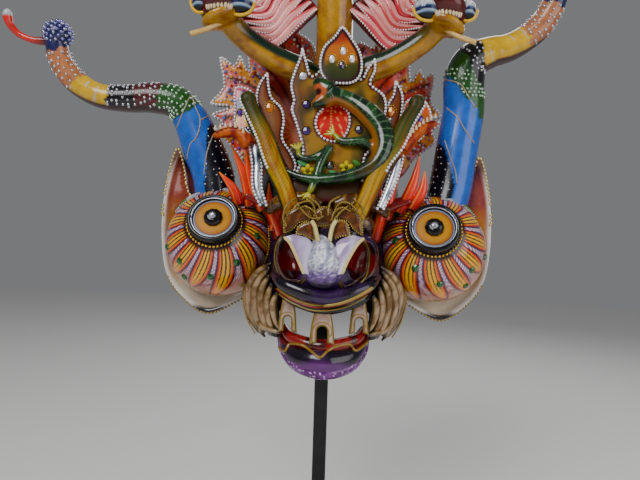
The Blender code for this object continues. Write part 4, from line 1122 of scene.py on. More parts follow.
def leaf(name, target, pixels, rise, inner, edge, slot, material="lacquer"):
    """A pillowed leaf laid on a surface inside a closed line of pixels."""
    rim = [hit(target, u, v) for u, v in curve(pixels, 5, True)]
    rim = [r for r in rim if r is not None]
    if len(rim) < 6:
        return None
    border = np.array([r[0] for r in rim])
    normal = np.mean([r[1] for r in rim], axis=0)
    normal /= np.linalg.norm(normal)
    middle = border.mean(axis=0)
    rings, shades = [], []
    for share in (1.0, 1.0, 0.94, 0.84, 0.7, 0.5, 0.3, 0.1):
        up = -1.0 if not rings else rise * math.sqrt(max(1 - share ** 2.5, 0)) + 0.3
        rings.append(middle + (border - middle) * share + normal * up)
        shades.append(np.tile(mix(inner, edge, 1.0 if share > 0.8 else 0.0), (len(border), 1)))
    points, faces = loft(rings)
    return make(name, points, faces, np.vstack(shades), material, slot)


def lips():
    """Upper lip, gum, red inner lip and violet lower lip, with gold lines."""
    points, faces, share, around = tube(UPPER_LIP, 40, 24)
    upper = make("upper_lip", points, faces, mix(rgb(30, 14, 38), rgb(66, 34, 86), step(noise(points, 22), 0.2, 0.8)),
                 "smooth", "face_purple")
    points, faces, share, around = tube(UPPER_GUM, 36, 24)
    gum = make("upper_gum", points, faces, rgb(22, 14, 18), "smooth", "face_purple")
    points, faces, share, around = tube(INNER_LIP, 36, 24)
    inner = make("inner_lip", points, faces, mix(rgb(156, 34, 26), rgb(84, 14, 18), step(noise(points, 12), 0.2, 0.8)),
                 "smooth", "face_purple")
    points, faces, share, around = tube(LOWER_LIP, 44, 20)
    colour = mix(rgb(34, 14, 42), rgb(66, 30, 82), step(noise(points, 16, 2), 0.2, 0.8))
    colour = mix(colour, rgb(116, 52, 130), step(-points[:, 2] - 0.006 * points[:, 0] ** 2, 119, 6))
    colour = mix(colour, rgb(122, 28, 24), step(points[:, 2], -108, 3))
    lower = make("lower_lip", points, faces, colour, "smooth", "face_purple")
    rim_rows = [(-46, -50, -104, 3), (-40, -62, -116, 5), (-25, -77, -127, 6.5), (0, -86, -131, 7),
                (25, -77, -127, 6.5), (40, -62, -116, 5), (46, -50, -104, 3)]
    points, faces, share, around = tube(rim_rows, 40, 24)
    colour = mix(rgb(112, 44, 124), rgb(146, 80, 158), step(noise(points, 10, 6), 0.3, 0.5))
    # Pale specks stand for the rim's glitter, painted as glints
    colour = mix(colour, rgb(226, 206, 236), step(rng.random(len(points)), 0.9, 0.05))
    rim = make("lip_rim", points, faces, colour, "smooth", "face_purple")
    target = surface(upper, gum, inner, lower, rim)
    lines = [
        ("lip_gold_line", [(110, 660), (200, 760), (340, 840), (480, 880), (650, 870), (800, 820), (940, 740)], 1.7,
         rgb(176, 152, 74)),
        ("lip_gold_beads", [(110, 676), (200, 778), (340, 858), (480, 898), (650, 888), (800, 838), (940, 756)], 0.8,
         rgb(170, 60, 34)),
        ("gum_gold_line", [(150, 745), (230, 820), (350, 885), (480, 925), (650, 915), (790, 870), (900, 800)], 0.9,
         OLIVE_GOLD),
        ("zigzag_line", [(140, 1150), (190, 1215), (240, 1250), (275, 1195), (330, 1190), (400, 1210), (460, 1260),
                         (520, 1300), (580, 1250), (640, 1215), (700, 1200), (760, 1195), (800, 1245), (850, 1220),
                         (910, 1160)], 1.5, rgb(158, 124, 40)),
    ]
    for name, pixels, radius, colour in lines:
        outline_rope(name, target, crop(FACE_CROP, pixels), radius, colour, 0.3, "smooth")


# Relief plates

def fill(outline, spacing):
    """Points and triangles that fill an outline of x and height, with each point's distance to the edge."""
    rim = even(outline, spacing * 0.7, True)
    low, high = rim.min(axis=0), rim.max(axis=0)
    gx = np.arange(low[0], high[0], spacing)
    gz = np.arange(low[1], high[1], spacing * 0.866)
    grid = np.array([(x + spacing / 2 * (j % 2), z) for j, z in enumerate(gz) for x in gx])
    a, b = rim, np.roll(rim, -1, axis=0)

    def edge_distance(points):
        best = np.full(len(points), 1e9)
        for p, q in zip(a, b):
            d = q - p
            t = np.clip(((points - p) @ d) / (d @ d), 0, 1)
            best = np.minimum(best, np.linalg.norm(points - p - t[:, None] * d, axis=1))
        return best

    inside = np.zeros(len(grid), bool)
    for p, q in zip(a, b):
        cross = (p[1] > grid[:, 1]) != (q[1] > grid[:, 1])
        with np.errstate(divide="ignore", invalid="ignore"):
            at = (q[0] - p[0]) * (grid[:, 1] - p[1]) / (q[1] - p[1]) + p[0]
        inside ^= cross & (grid[:, 0] < at)
    grid = grid[inside]
    grid = grid[edge_distance(grid) > spacing * 0.45]
    points = np.vstack([rim, grid])
    ring = list(range(len(rim)))
    out = delaunay_2d_cdt([Vector(p) for p in points], list(zip(ring, ring[1:] + ring[:1])), [], 1, 1e-5)
    verts = np.array([tuple(v) for v in out[0]])
    faces = [list(f) for f in out[2]]
    distance = edge_distance(verts)
    count = {}
    for f in faces:
        for i, j in zip(f, f[1:] + f[:1]):
            count[(i, j)] = count.get((i, j), 0) + 1
    rim_edges = [(i, j) for i, j in count if (j, i) not in count]
    return verts, faces, distance, rim_edges


def relief(name, outline, depth, thickness, rise, paint, material="lacquer", slot=None, replaces=(), spacing=2.0,
           width=6.0, smooth_steps=4, extra=None):
    """A plate with a pillowed front; depth(z) is its front at the edge, paint(x, z, d) its colours."""
    outline = curve(outline, smooth_steps, True) if smooth_steps else np.array(outline, float)
    flat, faces, distance, rim = fill(outline, spacing)
    x, z = flat.T
    swell = rise * (1 - np.exp(-distance / width * 2.2))
    if extra is not None:
        swell = swell + extra(x, z, distance)
    front = np.column_stack([x, depth(z) - swell, z])
    rear = np.column_stack([x, depth(z) + thickness, z])
    count = len(flat)
    all_faces = faces + [[i + count for i in reversed(f)] for f in faces]
    all_faces += [[j, i, i + count, j + count] for i, j in rim]
    colour = paint(x, z, distance)
    # The rear gets the front's colours at half strength: painted shade on the back
    return make(name, np.vstack([front, rear]), all_faces, np.vstack([colour, colour * 0.5]), material, slot, replaces)


# Forehead ornament: outlines of x and height

PANEL_HEIGHT = 50.0
PANEL_FRONT = -62.0
PANEL_LEAN = 0.25
PANEL_OUTLINE = [
    (-30, 40), (-41, 51), (-34, 72), (-29, 93), (-37, 122), (-43, 139), (-41, 150), (-45, 167), (-41, 186),
    (-37, 198), (-33, 213), (-27, 196), (-22, 180), (-14, 186), (0, 208), (20, 208), (31, 178), (38, 190),
    (48, 203), (49, 187), (44, 172), (58, 160), (61, 142), (54, 120), (45, 97), (38, 86), (36, 53), (28, 40),
]
FLAME_OUTLINE = [
    (11, 238), (1, 225), (-9, 214), (-13, 202), (-14, 189), (-10, 176), (0, 169), (21, 169), (31, 177),
    (34, 190), (32, 205), (25, 219),
]
NICHE_OUTLINE = [(1, 147), (-11, 136), (-14, 123), (-8, 111), (3, 106), (13, 110), (19, 123), (18, 137), (9, 145)]
SIDE_LEAVES = {
    "left": [(-71, 183), (-80, 169), (-82, 150), (-76, 134), (-60, 96), (-40, 66), (-34, 78), (-40, 92), (-50, 108),
             (-49, 127), (-53, 143), (-64, 154), (-68, 168)],
    "right": [(71, 178), (79, 164), (79, 144), (74, 125), (58, 92), (42, 66), (38, 78), (46, 92), (58, 116), (64, 134),
              (62, 150), (68, 162)],
}
CRESTS = {
    "left": [(-52, 74), (-88, 76), (-112, 104), (-138, 128), (-131, 140), (-145, 150), (-122, 160), (-147, 163),
             (-131, 185), (-137, 221), (-119, 211), (-112, 224), (-101, 204), (-102, 228), (-86, 219), (-70, 247),
             (-60, 263), (-48, 258), (-38, 252), (-22, 238), (-14, 200), (-14, 130)],
    "right": [(52, 74), (86, 76), (108, 104), (132, 124), (127, 137), (140, 148), (118, 153), (139, 156),
              (124, 174), (128, 202), (124, 210), (115, 203), (108, 214), (98, 198), (95, 226), (84, 220), (70, 238),
              (58, 246), (50, 238), (36, 244), (24, 236), (16, 200), (16, 130)],
}
CREST_Y = 40.0
LAPPETS = {
    "left": [(-108, 169), (-88, 165), (-79, 139), (-90, 116), (-98, 112), (-106, 124), (-107, 141)],
    "right": [(84, 158), (100, 166), (112, 150), (112, 132), (104, 118), (96, 112), (90, 124), (80, 140)],
}


def panel_y(z, lift=0.0):
    """Depth of the leaning front of the ornament at a height."""
    return PANEL_FRONT + (np.asarray(z, float) - PANEL_HEIGHT) * PANEL_LEAN - lift


def bordered(border, shades, width=4.5):
    """Paint with a dark border, a line of the middle shade and a lit middle."""
    edge, middle, heart = shades

    def paint(x, z, d):
        points = np.column_stack([x, np.zeros(len(x)), z])
        colour = mix(edge, middle, step(d, width, 0.8))
        colour = mix(colour, heart, step(d, width * 2.2, 5) * (0.6 + 0.4 * noise(points, 16, 5))[:])
        return mix(colour, border, step(1.4 - d, 0, 0.8))
    return paint


def rim_beads(name, outline, depth, spacing, radius, colour, inset=1.6, slot=None, lift=0.6, steps=4, keep=None):
    """Beads along the rim of a plate."""
    rim = even(curve(outline, steps, True), spacing, True)
    middle = rim.mean(axis=0)
    ahead = np.roll(rim, -1, axis=0) - np.roll(rim, 1, axis=0)
    normal = np.column_stack([ahead[:, 1], -ahead[:, 0]])
    normal /= np.linalg.norm(normal, axis=1)[:, None]
    area = np.sum(rim[:, 0] * np.roll(rim[:, 1], -1) - np.roll(rim[:, 0], -1) * rim[:, 1])
    rim = rim - normal * inset * np.sign(area)
    places = np.column_stack([rim[:, 0], depth(rim[:, 1]) - lift, rim[:, 1]])
    if keep is not None:
        places = places[keep(places)]
    return beads(name, places, radius, colour, slot=slot)


def stones(name, places, colours, size=(4.6, 3.0, 4.6), slot="ornament_ochre", setting=GOLD):
    """Cut stones in beaded settings, lying on the leaning plane."""
    cut = sphere(8, 4)
    parts, dots = [], []
    for (x, lift, z), colour in zip(places, colours):
        centre = np.array([x, float(panel_y(z, lift)), z])
        parts.append((cut[0] * size + centre, cut[1], colour))
        for k in range(16):
            a = 2 * math.pi * k / 16
            dots.append(centre + ((size[0] + 1.2) * math.cos(a), 0.9, (size[2] + 1.2) * math.sin(a)))
    make(name, *joined(parts), "gem", slot, (), True)
    beads(name + "_setting", dots, 0.95, setting, slot=slot)


def ornament():
    """Panel with its red niche, flame plaque and side leaves."""
    def niche_depth(x, z, d):
        return -np.zeros(len(x))

    niche = np.array(curve(NICHE_OUTLINE, 6, True))

    def panel_paint(x, z, d):
        points = np.column_stack([x, np.zeros(len(x)), z])
        cloud = noise(points, 24, 8)
        heart = mix(rgb(162, 126, 0), rgb(66, 70, 6), step(cloud, 0.3, 0.8))
        heart = mix(heart, rgb(132, 76, 0), step(-x, 28, 14) * 0.5 + step(noise(points, 18, 2), 0.7, 0.4) * 0.5)
        heart = mix(heart, rgb(84, 56, 20), step(66 - z, 0, 14))
        colour = mix(rgb(96, 18, 26), heart, step(d, 4.6, 1.0))
        hole = near(np.column_stack([x, np.zeros(len(x)), z]),
                    np.column_stack([niche[:, 0], np.zeros(len(niche)), niche[:, 1]]))
        inside = in_outline(x, z, niche)
        rays = np.abs(np.sin(np.arctan2(x - 1, 150 - z) * 9))
        red = mix(rgb(206, 26, 10), rgb(240, 176, 110), step(0.16 - rays, 0, 0.08))
        colour = np.where(inside[:, None], red, colour)
        return mix(colour, rgb(96, 18, 26), step(4.2 - hole, 0, 0.8) * ~inside)

    def sink(x, z, d):
        return np.where(in_outline(x, z, niche), -3.4, 0.0)

    relief("panel_front", PANEL_OUTLINE, panel_y, 7.5, 1.8, panel_paint, "satin", "ornament_ochre",
           ("forehead_panel",), 1.8, 5.0, 3, sink)
    rim_beads("panel_beads", PANEL_OUTLINE, panel_y, 3.9, 1.75, PEARLS, 1.6, "ornament_ochre", 1.6, 3,
              lambda p: p[:, 2] > 62)
    rim_beads("niche_beads", NICHE_OUTLINE, panel_y, 3.7, 1.65, PEARLS, -1.4, "ornament_ochre", 1.6, 6)
    stones("panel_stones", [(-26, 2.5, 145), (-25, 2.5, 115), (31, 2.5, 118), (0, 2.5, 96), (1, 2.5, 78), (-31, 2.5, 178)],
           [rgb(66, 20, 120), rgb(66, 20, 120), rgb(46, 14, 84), rgb(60, 20, 110), rgb(10, 40, 30),
            rgb(210, 214, 226)], setting=rgb(150, 108, 30))

    def front(z):
        return panel_y(z, 6.3)

    def flame_paint(x, z, d):
        points = np.column_stack([x, np.zeros(len(x)), z])
        heart = ramp(z + 3 * noise(points, 9, 3), [(168, rgb(34, 44, 4)), (190, rgb(84, 88, 0)), (200, rgb(186, 120, 0)),
                                                   (214, rgb(196, 112, 0)), (228, rgb(160, 44, 8))])
        return mix(rgb(70, 16, 30), heart, step(d, 5.6, 1.0))

    relief("flame_front", FLAME_OUTLINE, front, 6.0, 2.0, flame_paint, "satin", "ornament_ochre", ("flame_plaque",),
           1.5, 5.0, 4)
    rim_beads("flame_beads", FLAME_OUTLINE, front, 3.7, 1.65, PEARLS, 1.4, "ornament_ochre", 1.2, 4)
    stones("flame_stones", [(0, 8.6, 197), (12, 8.6, 207), (22, 8.6, 198), (11, 8.6, 190)],
           [rgb(226, 226, 232)] * 3 + [rgb(60, 20, 90)], (3.4, 2.6, 4.8))
    for side, outline in SIDE_LEAVES.items():
        sign = -1 if side == "left" else 1

        def back(z):
            return panel_y(z, -6.0)

        relief("side_leaf_front_" + side, outline, back, 5.5, 3.0,
               bordered(rgb(40, 8, 14), (rgb(84, 12, 20), rgb(136, 76, 0), rgb(156, 118, 0)), 4.2), "satin",
               "ornament_ochre", ("side_leaf_" + side,), 1.5, 5.0, 4)
        rim_beads("side_leaf_beads_" + side, outline, back, 3.9, 1.75, PEARLS, 1.2, "ornament_ochre", 1.2)
        stones("side_leaf_stone_" + side, [(sign * 66, -3.0, 141)], [rgb(206, 130, 30)], (4.4, 3, 6.2))


def blossoms():
    """Yellow blossoms and green leaves at the panel's foot."""
    parts = []
    for x, z, size in ((-22, 71, 5.4), (18, 76, 5.4)):
        centre = np.array([x, float(panel_y(z, 3.0)), z])
        for k in range(5):
            a = 2 * math.pi * k / 5 + 0.3
            away = np.array([math.cos(a), -0.15, math.sin(a)]) * size * 0.8
            parts.append((*ellipsoid(centre + away, (size * 0.62, 2.2, size * 0.5), (0, -a, 0), 16, 10),
                          rgb(206, 190, 0)))
        parts.append((*ellipsoid(centre - (0, 1.6, 0), (2.2, 2, 2.2), (0, 0, 0), 12, 8), rgb(120, 110, 0)))
    for x, z, angle, tone in ((-27, 65, 0.4, rgb(50, 130, 70)), (-27, 79, -0.4, rgb(90, 160, 110)),
                              (-8, 72, 0.9, rgb(50, 130, 70)), (30, 80, -0.7, rgb(90, 150, 60)),
                              (6, 69, -0.5, rgb(90, 160, 110)), (26, 69, 0.3, rgb(50, 130, 70))):
        centre = np.array([x, float(panel_y(z, 2.6)), z])
        parts.append((*ellipsoid(centre, (7.0, 1.8, 2.8), (0, -angle, 0), 20, 12), tone))
    make("panel_blossoms", *joined(parts), "satin", "ornament_ochre")


def in_outline(x, z, outline):
    """Which points lie inside an outline."""
    inside = np.zeros(len(x), bool)
    for p, q in zip(outline, np.roll(outline, -1, axis=0)):
        cross = (p[1] > z) != (q[1] > z)
        with np.errstate(divide="ignore", invalid="ignore"):
            at = (q[0] - p[0]) * (z - p[1]) / (q[1] - p[1]) + p[0]
        inside ^= cross & (x < at)
    return inside


def crests():
    """Flame-tongued wings in red, orange and pink, brushed with dark strokes."""
    for side, outline in CRESTS.items():
        sign = -1 if side == "left" else 1

        def flat(z):
            return np.full(len(np.atleast_1d(z)), CREST_Y) if np.ndim(z) else CREST_Y

        def paint(x, z, d):
            points = np.column_stack([x, np.zeros(len(x)), z])
            angle = np.arctan2(z - 130, sign * x - 40)
            far = np.hypot(z - 130, sign * x - 40)
            tongue = np.sin(angle * 13 + 0.03 * far)
            colour = mix(rgb(232, 84, 44), rgb(246, 160, 160), step(noise(points, 16, 4), 0.1, 0.8))
            colour = mix(colour, rgb(248, 184, 60), step(tongue, 0.3, 0.6) * 0.8)
            colour = mix(colour, rgb(150, 22, 26), step(d, 24, 12) * 0.5)
            strokes = step(np.sin(angle * 34 + 0.16 * far), 0.62, 0.3) * step(far, 40, 20) * step(d, 5.0, 1)
            colour = mix(colour, rgb(84, 14, 26), strokes * 0.8)
            return mix(rgb(70, 14, 24), colour, step(d, 1.6, 0.8))

        relief("crest_front_" + side, outline, flat, 4.6, 2.4, paint, "lacquer", "crest_red", ("crest_wing_" + side,),
               2.2, 5.0, 3)
        rim_beads("crest_beads_" + side, outline, flat, 4.4, 2.05, PEARLS, 1.2, "crest_red", 1.4, 3,
                  lambda p: p[:, 2] > 96)
        rim = np.array(curve(outline, 3, True))
        grid = np.array([(x, z) for x in np.arange(18, 142, 5.8) for z in np.arange(104, 262, 5.8)])
        grid = grid * (sign, 1) + rng.uniform(-1.6, 1.6, grid.shape)
        inside = in_outline(grid[:, 0], grid[:, 1], rim)
        flat_rim = np.column_stack([rim[:, 0], np.zeros(len(rim)), rim[:, 1]])
        away = near(np.column_stack([grid[:, 0], np.zeros(len(grid)), grid[:, 1]]), np.vstack([flat_rim, flat_rim[:1]]))
        chosen = grid[inside & (away > 4.6) & (away < 17)]
        tones = [rgb(240, 190, 40), rgb(150, 90, 200), rgb(110, 150, 226), rgb(226, 60, 30), rgb(246, 220, 150),
                 rgb(244, 150, 160), rgb(240, 240, 246), rgb(240, 240, 246)]
        cut = sphere(7, 4)
        parts = [(cut[0] * rng.uniform(1.3, 2.3) + (x, CREST_Y - 2.8, z), cut[1], tones[rng.integers(len(tones))])
                 for x, z in chosen]
        make("crest_stones_" + side, *joined(parts), "gem", "crest_red", (), True)


def lappets():
    """Small plates beside the leaves, in bands of many colours."""
    rainbow = [rgb(206, 40, 40), rgb(232, 126, 30), rgb(236, 196, 40), rgb(60, 130, 50), rgb(40, 90, 160),
               rgb(110, 50, 130), rgb(226, 110, 130), rgb(206, 40, 40)]
    for side, outline in LAPPETS.items():
        sign = -1 if side == "left" else 1

        def back(z):
            return panel_y(z, -20.0)

        def paint(x, z, d):
            band = np.clip(((z - 112) / 56 + 0.12 * np.sin(x * 0.4)) * 7, 0, 6.999)
            if side == "left":
                colour = np.array(rainbow)[band.astype(int)]
            else:
                colour = ramp(z, [(112, rgb(190, 60, 30)), (135, rgb(232, 130, 40)), (166, rgb(206, 60, 40))])
            return mix(colour, rgb(60, 14, 20), step(1.6 - d, 0, 0.6))

        relief("lappet_front_" + side, outline, back, 4.6, 2.0, paint, "lacquer", "ornament_ochre", ("lappet_" + side,),
               1.5, 4.0, 4)
        rim_beads("lappet_beads_" + side, outline, back, 3.9, 1.75, PEARLS, 1.2, "ornament_ochre", 1.0)
        gems = [(sign * 96, -17.0, 154), (sign * 90, -17.0, 150), (sign * 100, -17.0, 138)]
        stones("lappet_stones_" + side, gems, [WHITE, WHITE, rgb(120, 60, 190)], (3.0, 2.2, 4.0))


# Serpents, manes and tongues: x, depth, height, radius

CENTRE_NECK = [(2, 14, 96, 20), (2, 12, 150, 21), (3, 8, 210, 21), (2, 0, 262, 21), (2, -8, 300, 19)]
SIDE_NECK_LEFT = [
    (-14, 2, 184, 15), (-36, -8, 192, 15), (-70, -16, 205, 14), (-99, -26, 222, 13), (-116, -38, 238, 13),
]
SIDE_HEAD_LEFT = (-119, -45, 246)
TONGUE_LEFT = [(-118, -52, 226, 2.6), (-132, -58, 216, 2.6), (-148, -62, 209, 2.6)]
MANE_OUTLINE = [
    (-98, 222), (-80, 219), (-62, 219), (-46, 232), (-30, 248), (-18, 262), (-28, 276), (-44, 284),
    (-58, 276), (-66, 290), (-82, 286), (-92, 272), (-104, 262), (-112, 246),
]
MANE_Y = -6.0
# Start, lowest point and end of each plume of the left mane, x and height
PLUMES = [
    ((-96, 226), (-66, 221), (-20, 263)), ((-100, 232), (-68, 229), (-27, 270)), ((-102, 238), (-68, 237), (-34, 277)),
    ((-104, 245), (-70, 245), (-44, 281)), ((-104, 252), (-74, 252), (-54, 279)), ((-102, 258), (-80, 259), (-66, 286)),
    ((-98, 264), (-84, 266), (-76, 286)), ((-92, 268), (-88, 272), (-84, 284)),
]


def scaled_neck(points, around, share):
    """Ochre scales with darker lines between them."""
    ring = share * 30
    cell = np.sin(ring * 2 * np.pi) * np.sin(around * 8)
    colour = mix(rgb(206, 146, 12), rgb(236, 186, 40), step(cell, 0.0, 0.6))
    colour = mix(colour, rgb(120, 90, 12), step(np.abs(cell), 0.08, 0.08) * -0.5 + 0.5)
    return colour


def serpent_eye(name, centre, radii, node, tint):
    """A bulging glass eye: silver above, blue to black below, with a dark slit and a fringe."""
    points, faces = ellipsoid(centre, radii, (0, 0, 0), 48, 32)
    out = (points - centre) / radii
    level = out[:, 2] - 0.12 * (1 - out[:, 0] ** 2)
    colour = ramp(level, [(-0.8, BLACK), (-0.62, rgb(10, 14, 40)), (-0.5, rgb(120, 160, 200)), (-0.42, rgb(190, 200, 210)),
                          (-0.36, rgb(16, 26, 70)), (-0.12, rgb(20, 34, 84)), (0.0, rgb(120, 140, 160)),
                          (0.14, rgb(214, 216, 216)), (1, rgb(232, 230, 226))])
    marble = noise(points, 4.0, 6)
    colour = mix(colour, rgb(110, 124, 130), step(marble, 0.3, 0.3) * step(level, 0.1, 0.2) * 0.6)
    colour = mix(colour, tint, step(0.2 - np.hypot(out[:, 0] - 0.1, out[:, 2] - 0.8), 0, 0.06) * (out[:, 1] < 0))
    make(name + "_glass", points, faces, colour, "black", "serpent_eye", (node,))
    lashes = []
    for k in range(24):
        a = math.pi * (1.02 + 0.96 * k / 23)
        way = np.array([math.cos(a), -0.35, math.sin(a)])
        lashes.append(np.array(centre) + way * radii * 1.02)
    beads(name + "_lashes", lashes, 1.9, rgb(232, 190, 10), "smooth", "serpent_ochre")


def serpent_head(name, centre, radii, turn, sign, node, neck, side=True):
    """Neck and head: ochre with dark green stripe, maroon snout and a row of cream teeth."""
    neck_points, neck_faces, share, around = tube(neck, 40, 20)
    head = ellipsoid(centre, radii, (0, turn, 0), 48, 32)
    out_x = -sign if side else 0
    cx, cy, cz = centre
    snout = ellipsoid((cx, cy - 6, cz + 4), (radii[0] * 0.85, radii[1] * 1.05, radii[2] * 0.7), (0, turn, 0), 40, 26)
    jaw = ellipsoid((cx, cy - 3, cz - radii[2] * 0.72), (radii[0] * 0.85, radii[1] * 1.0, radii[2] * 0.42), (0, turn, 0),
                    40, 26)
    points, faces = sculpted(name, [(neck_points, neck_faces), head, snout, jaw], 1.8, 2)
    x, y, z = points.T
    path = curve(neck, 12)[:, :3]
    distance = near(points, path[:-2])
    colour = mix(rgb(196, 152, 0), rgb(170, 118, 0), step(noise(points, 14, 2), 0.3, 0.9))
    stripe = near(points, path + (0, -12, 9) if side else path + (0, -20, 0))
    reach = step(100 - np.abs(x), 0, 26) if side else 0.0
    colour = mix(colour, rgb(16, 62, 44), step(8.5 - stripe, 0, 3.0) * reach)
    head_at = np.array(centre)
    local = (points - head_at)
    c, s = math.cos(turn), math.sin(turn)
    up = local[:, 2] * c + local[:, 0] * s
    across = local[:, 0] * c - local[:, 2] * s
    on_head = np.linalg.norm(local / (np.array(radii) * 1.25), axis=1) < 1.05
    mouth = on_head & (local[:, 1] < -radii[1] * 0.25)
    colour = mix(colour, rgb(110, 14, 14), mouth & (up > -radii[2] * 0.4))
    colour = mix(colour, rgb(40, 8, 12), mouth & (np.abs(up + radii[2] * 0.44) < radii[2] * 0.1))
    make(name + "_skin", points, faces, colour, "lacquer", "serpent_ochre", (node,))
    target = surface(bpy.data.objects[name + "_skin"])
    teeth = []
    for k in range(9):
        a = (k - 4) / 4.6
        direction = Vector((a * 0.9, -1.0, 0)).normalized()
        start = Vector((cx, cy - 2, cz - radii[2] * 0.44 + EYE_LINE)) * MM
        way = direction
        place, normal, index, far = target.ray_cast(start + way * 0.08, -way)
        if place is None:
            continue
        p = np.array(place) / MM - (0, 0, EYE_LINE)
        down = -1 if k % 2 else 1
        rows = [(p[0], p[1] + 1, p[2] + 2.5 * down, 2.0), (p[0], p[1] - 0.6, p[2], 1.7),
                (p[0], p[1] - 0.8, p[2] - 3.2 * down, 0.4)]
        teeth.append((*tube(rows, 10, 3)[:2], CREAM))
    if teeth:
        make(name + "_teeth", *joined(teeth), "smooth", "serpent_ochre")
    return bpy.data.objects[name + "_skin"]


def crown():
    """Three serpents with their eyes, tongues and pink manes."""
    serpent_head("serpent_centre", (2, -22, 316), (27, 34, 24), 0.0, 1, "serpent_centre", CENTRE_NECK, False)
    for label, offset in (("left", -19), ("right", 19)):
        serpent_eye("centre_eye_" + label, (2 + offset, -36, 324), (14.6, 12.6, 12.6), "serpent_centre_eye_" + label,
                    RED)
    for side in ("left", "right"):
        sign = -1 if side == "left" else 1
        neck = SIDE_NECK_LEFT if side == "left" else mirrored(SIDE_NECK_LEFT)
        x, y, z = SIDE_HEAD_LEFT
        turn = math.radians(-20) if side == "left" else math.radians(20)
        serpent_head("serpent_" + side, (sign * 119, y, z), (25, 22, 20), turn, sign,
                     "serpent_" + side, neck)
        serpent_eye("inner_eye_" + side, (sign * (119 - 21), y - 8, z - 1), (14.6, 12.6, 12.6),
                    "serpent_" + side + "_eye_inner", rgb(214, 60, 50))
        serpent_eye("outer_eye_" + side, (sign * (119 + 21), y - 6, z), (9.8, 11.6, 11.6),
                    "serpent_" + side + "_eye_outer", rgb(214, 60, 50))
        rows = TONGUE_LEFT if side == "left" else mirrored(TONGUE_LEFT)
        make("serpent_tongue_paint_" + side, *tube(rows, 16, 8)[:2], rgb(224, 190, 120), "smooth", "tongue_cream",
             ("serpent_tongue_" + side,))
        outline = MANE_OUTLINE if side == "left" else mirrored(MANE_OUTLINE)
        mane(side, np.array(outline, float), sign)


def mane(side, outline, sign):
    """Rows of curls in pinks over the mane, edged with white beads."""
    def flat(z):
        return np.full(len(np.atleast_1d(z)), MANE_Y) if np.ndim(z) else MANE_Y

    def paint(x, z, d):
        points = np.column_stack([x, np.zeros(len(x)), z])
        return mix(rgb(110, 12, 24), rgb(150, 30, 40), step(noise(points, 7, 3), 0, 1.0))

    relief("mane_front_" + side, outline, flat, 4.6, 2.0, paint, "lacquer", "mane_pink", ("mane_" + side,), 1.8, 5.0, 4)
    plumes, dots = [], []
    for n, (start, low, end) in enumerate(PLUMES):
        flip = -sign
        rows = [(flip * start[0], MANE_Y - 4, start[1], 1.6), (flip * low[0], MANE_Y - 6.5, low[1], 4.6),
                (flip * (0.45 * low[0] + 0.55 * end[0]), MANE_Y - 6.5, 0.4 * low[1] + 0.6 * end[1], 5.0),
                (flip * end[0], MANE_Y - 3.5, end[1], 2.6)]
        tone = (rgb(222, 96, 104), rgb(206, 70, 84), rgb(232, 140, 136), rgb(214, 84, 84))[n % 4]
        points, faces, share, around = tube(rows, 24, 12, 0.7)
        # Painted shade and highlight: each plume is dark red down one side and carries a pale line along the other
        shade = mix(np.tile(rgb(120, 14, 28), (len(points), 1)), tone, step(-np.sin(around + 0.5), -0.5, 0.5))
        plumes.append((points, faces, mix(shade, rgb(244, 196, 190), step(-np.sin(around - 0.4), 0.86, 0.12) * 0.6)))
        path = curve(rows, 12)
        middle = np.array([flip * -66, 0, 262])
        for row in even(path, 3.0)[1:-1]:
            away = row[:3] - middle
            away[1] = 0
            away /= max(np.linalg.norm(away), 1e-6)
            dots.append(row[:3] + away * row[3] * 1.05 - (0, 1.0, 0))
    make("mane_plumes_" + side, *joined(plumes), "smooth", "mane_pink")
    beads("mane_beads_" + side, dots, 1.3, PEARLS, "pearls", "mane_pink")


# Creatures in front of the ornament: x, lift off the leaning plane, height, radius

LIZARD_BODY = [
    (-16, 9, 156, 6), (-4, 10, 157, 10), (10, 9, 153, 9), (26, 9, 146, 10), (42, 10, 133, 12),
    (54, 10, 116, 12), (56, 10, 96, 11), (45, 10, 78, 9), (22, 10, 67, 7), (-4, 9, 62, 6),
    (-28, 7, 64, 4.5), (-46, 6, 71, 3),
]
LIZARD_LEGS = [
    [(-13, 8, 62, 5), (-9, 8, 78, 5), (-2, 7, 93, 4.5), (1, 7, 98, 4)],
    [(2, 7, 97, 4.5), (-13, 6, 87, 4), (-25, 6, 84, 3.5), (-31, 6, 87, 3), (-33, 5, 94, 2.5)],
    [(50, 8, 96, 6), (34, 8, 104, 5), (14, 6, 104, 4.5), (4, 6, 112, 2.5)],
    [(-12, 8, 64, 5), (-16, 8, 55, 4), (-20, 8, 47, 2.5)],
]
DRAGON_NECKS = {
    "left": [(-34, 4, 22, 9), (-44, 5, 50, 10), (-58, 5, 78, 11), (-68, 5, 104, 11), (-80, 5, 128, 10),
             (-88, 5, 144, 8)],
    "right": [(30, 4, 22, 9), (42, 5, 50, 10), (54, 5, 78, 11), (68, 5, 98, 11), (80, 5, 124, 10), (92, 5, 146, 8)],
}
DRAGON_JAWS = {
    "left": [(-84, 7, 96, 8), (-94, 8, 108, 7), (-106, 8, 110, 6), (-122, 8, 105, 3)],
    "right": [(76, 7, 96, 8), (88, 8, 112, 7), (100, 8, 122, 6), (112, 8, 128, 3)],
}
BANDS_SILVER = {
    "left": [(-66, 0, 34, 4), (-73, 0, 52, 5.5), (-75, 0, 78, 6), (-80, 0, 99, 6), (-90, 0, 116, 4)],
    "right": [(54, 0, 34, 4), (64, 0, 58, 5.5), (71, 0, 82, 6), (75, 0, 107, 6), (88, 0, 124, 4)],
}
SPIKE_Y = -34.0
SPIKES = {
    "left": [((-58, 8), (-48, 78)), ((-70, 30), (-90, 98)), ((-84, 34), (-106, 100)), ((-50, 4), (-64, 60)),
             ((-96, 36), (-118, 70))],
    "right": [((52, 2), (56, 64)), ((64, 24), (82, 92)), ((78, 32), (98, 96)), ((46, -6), (38, 20)),
              ((92, 36), (104, 78))],
}
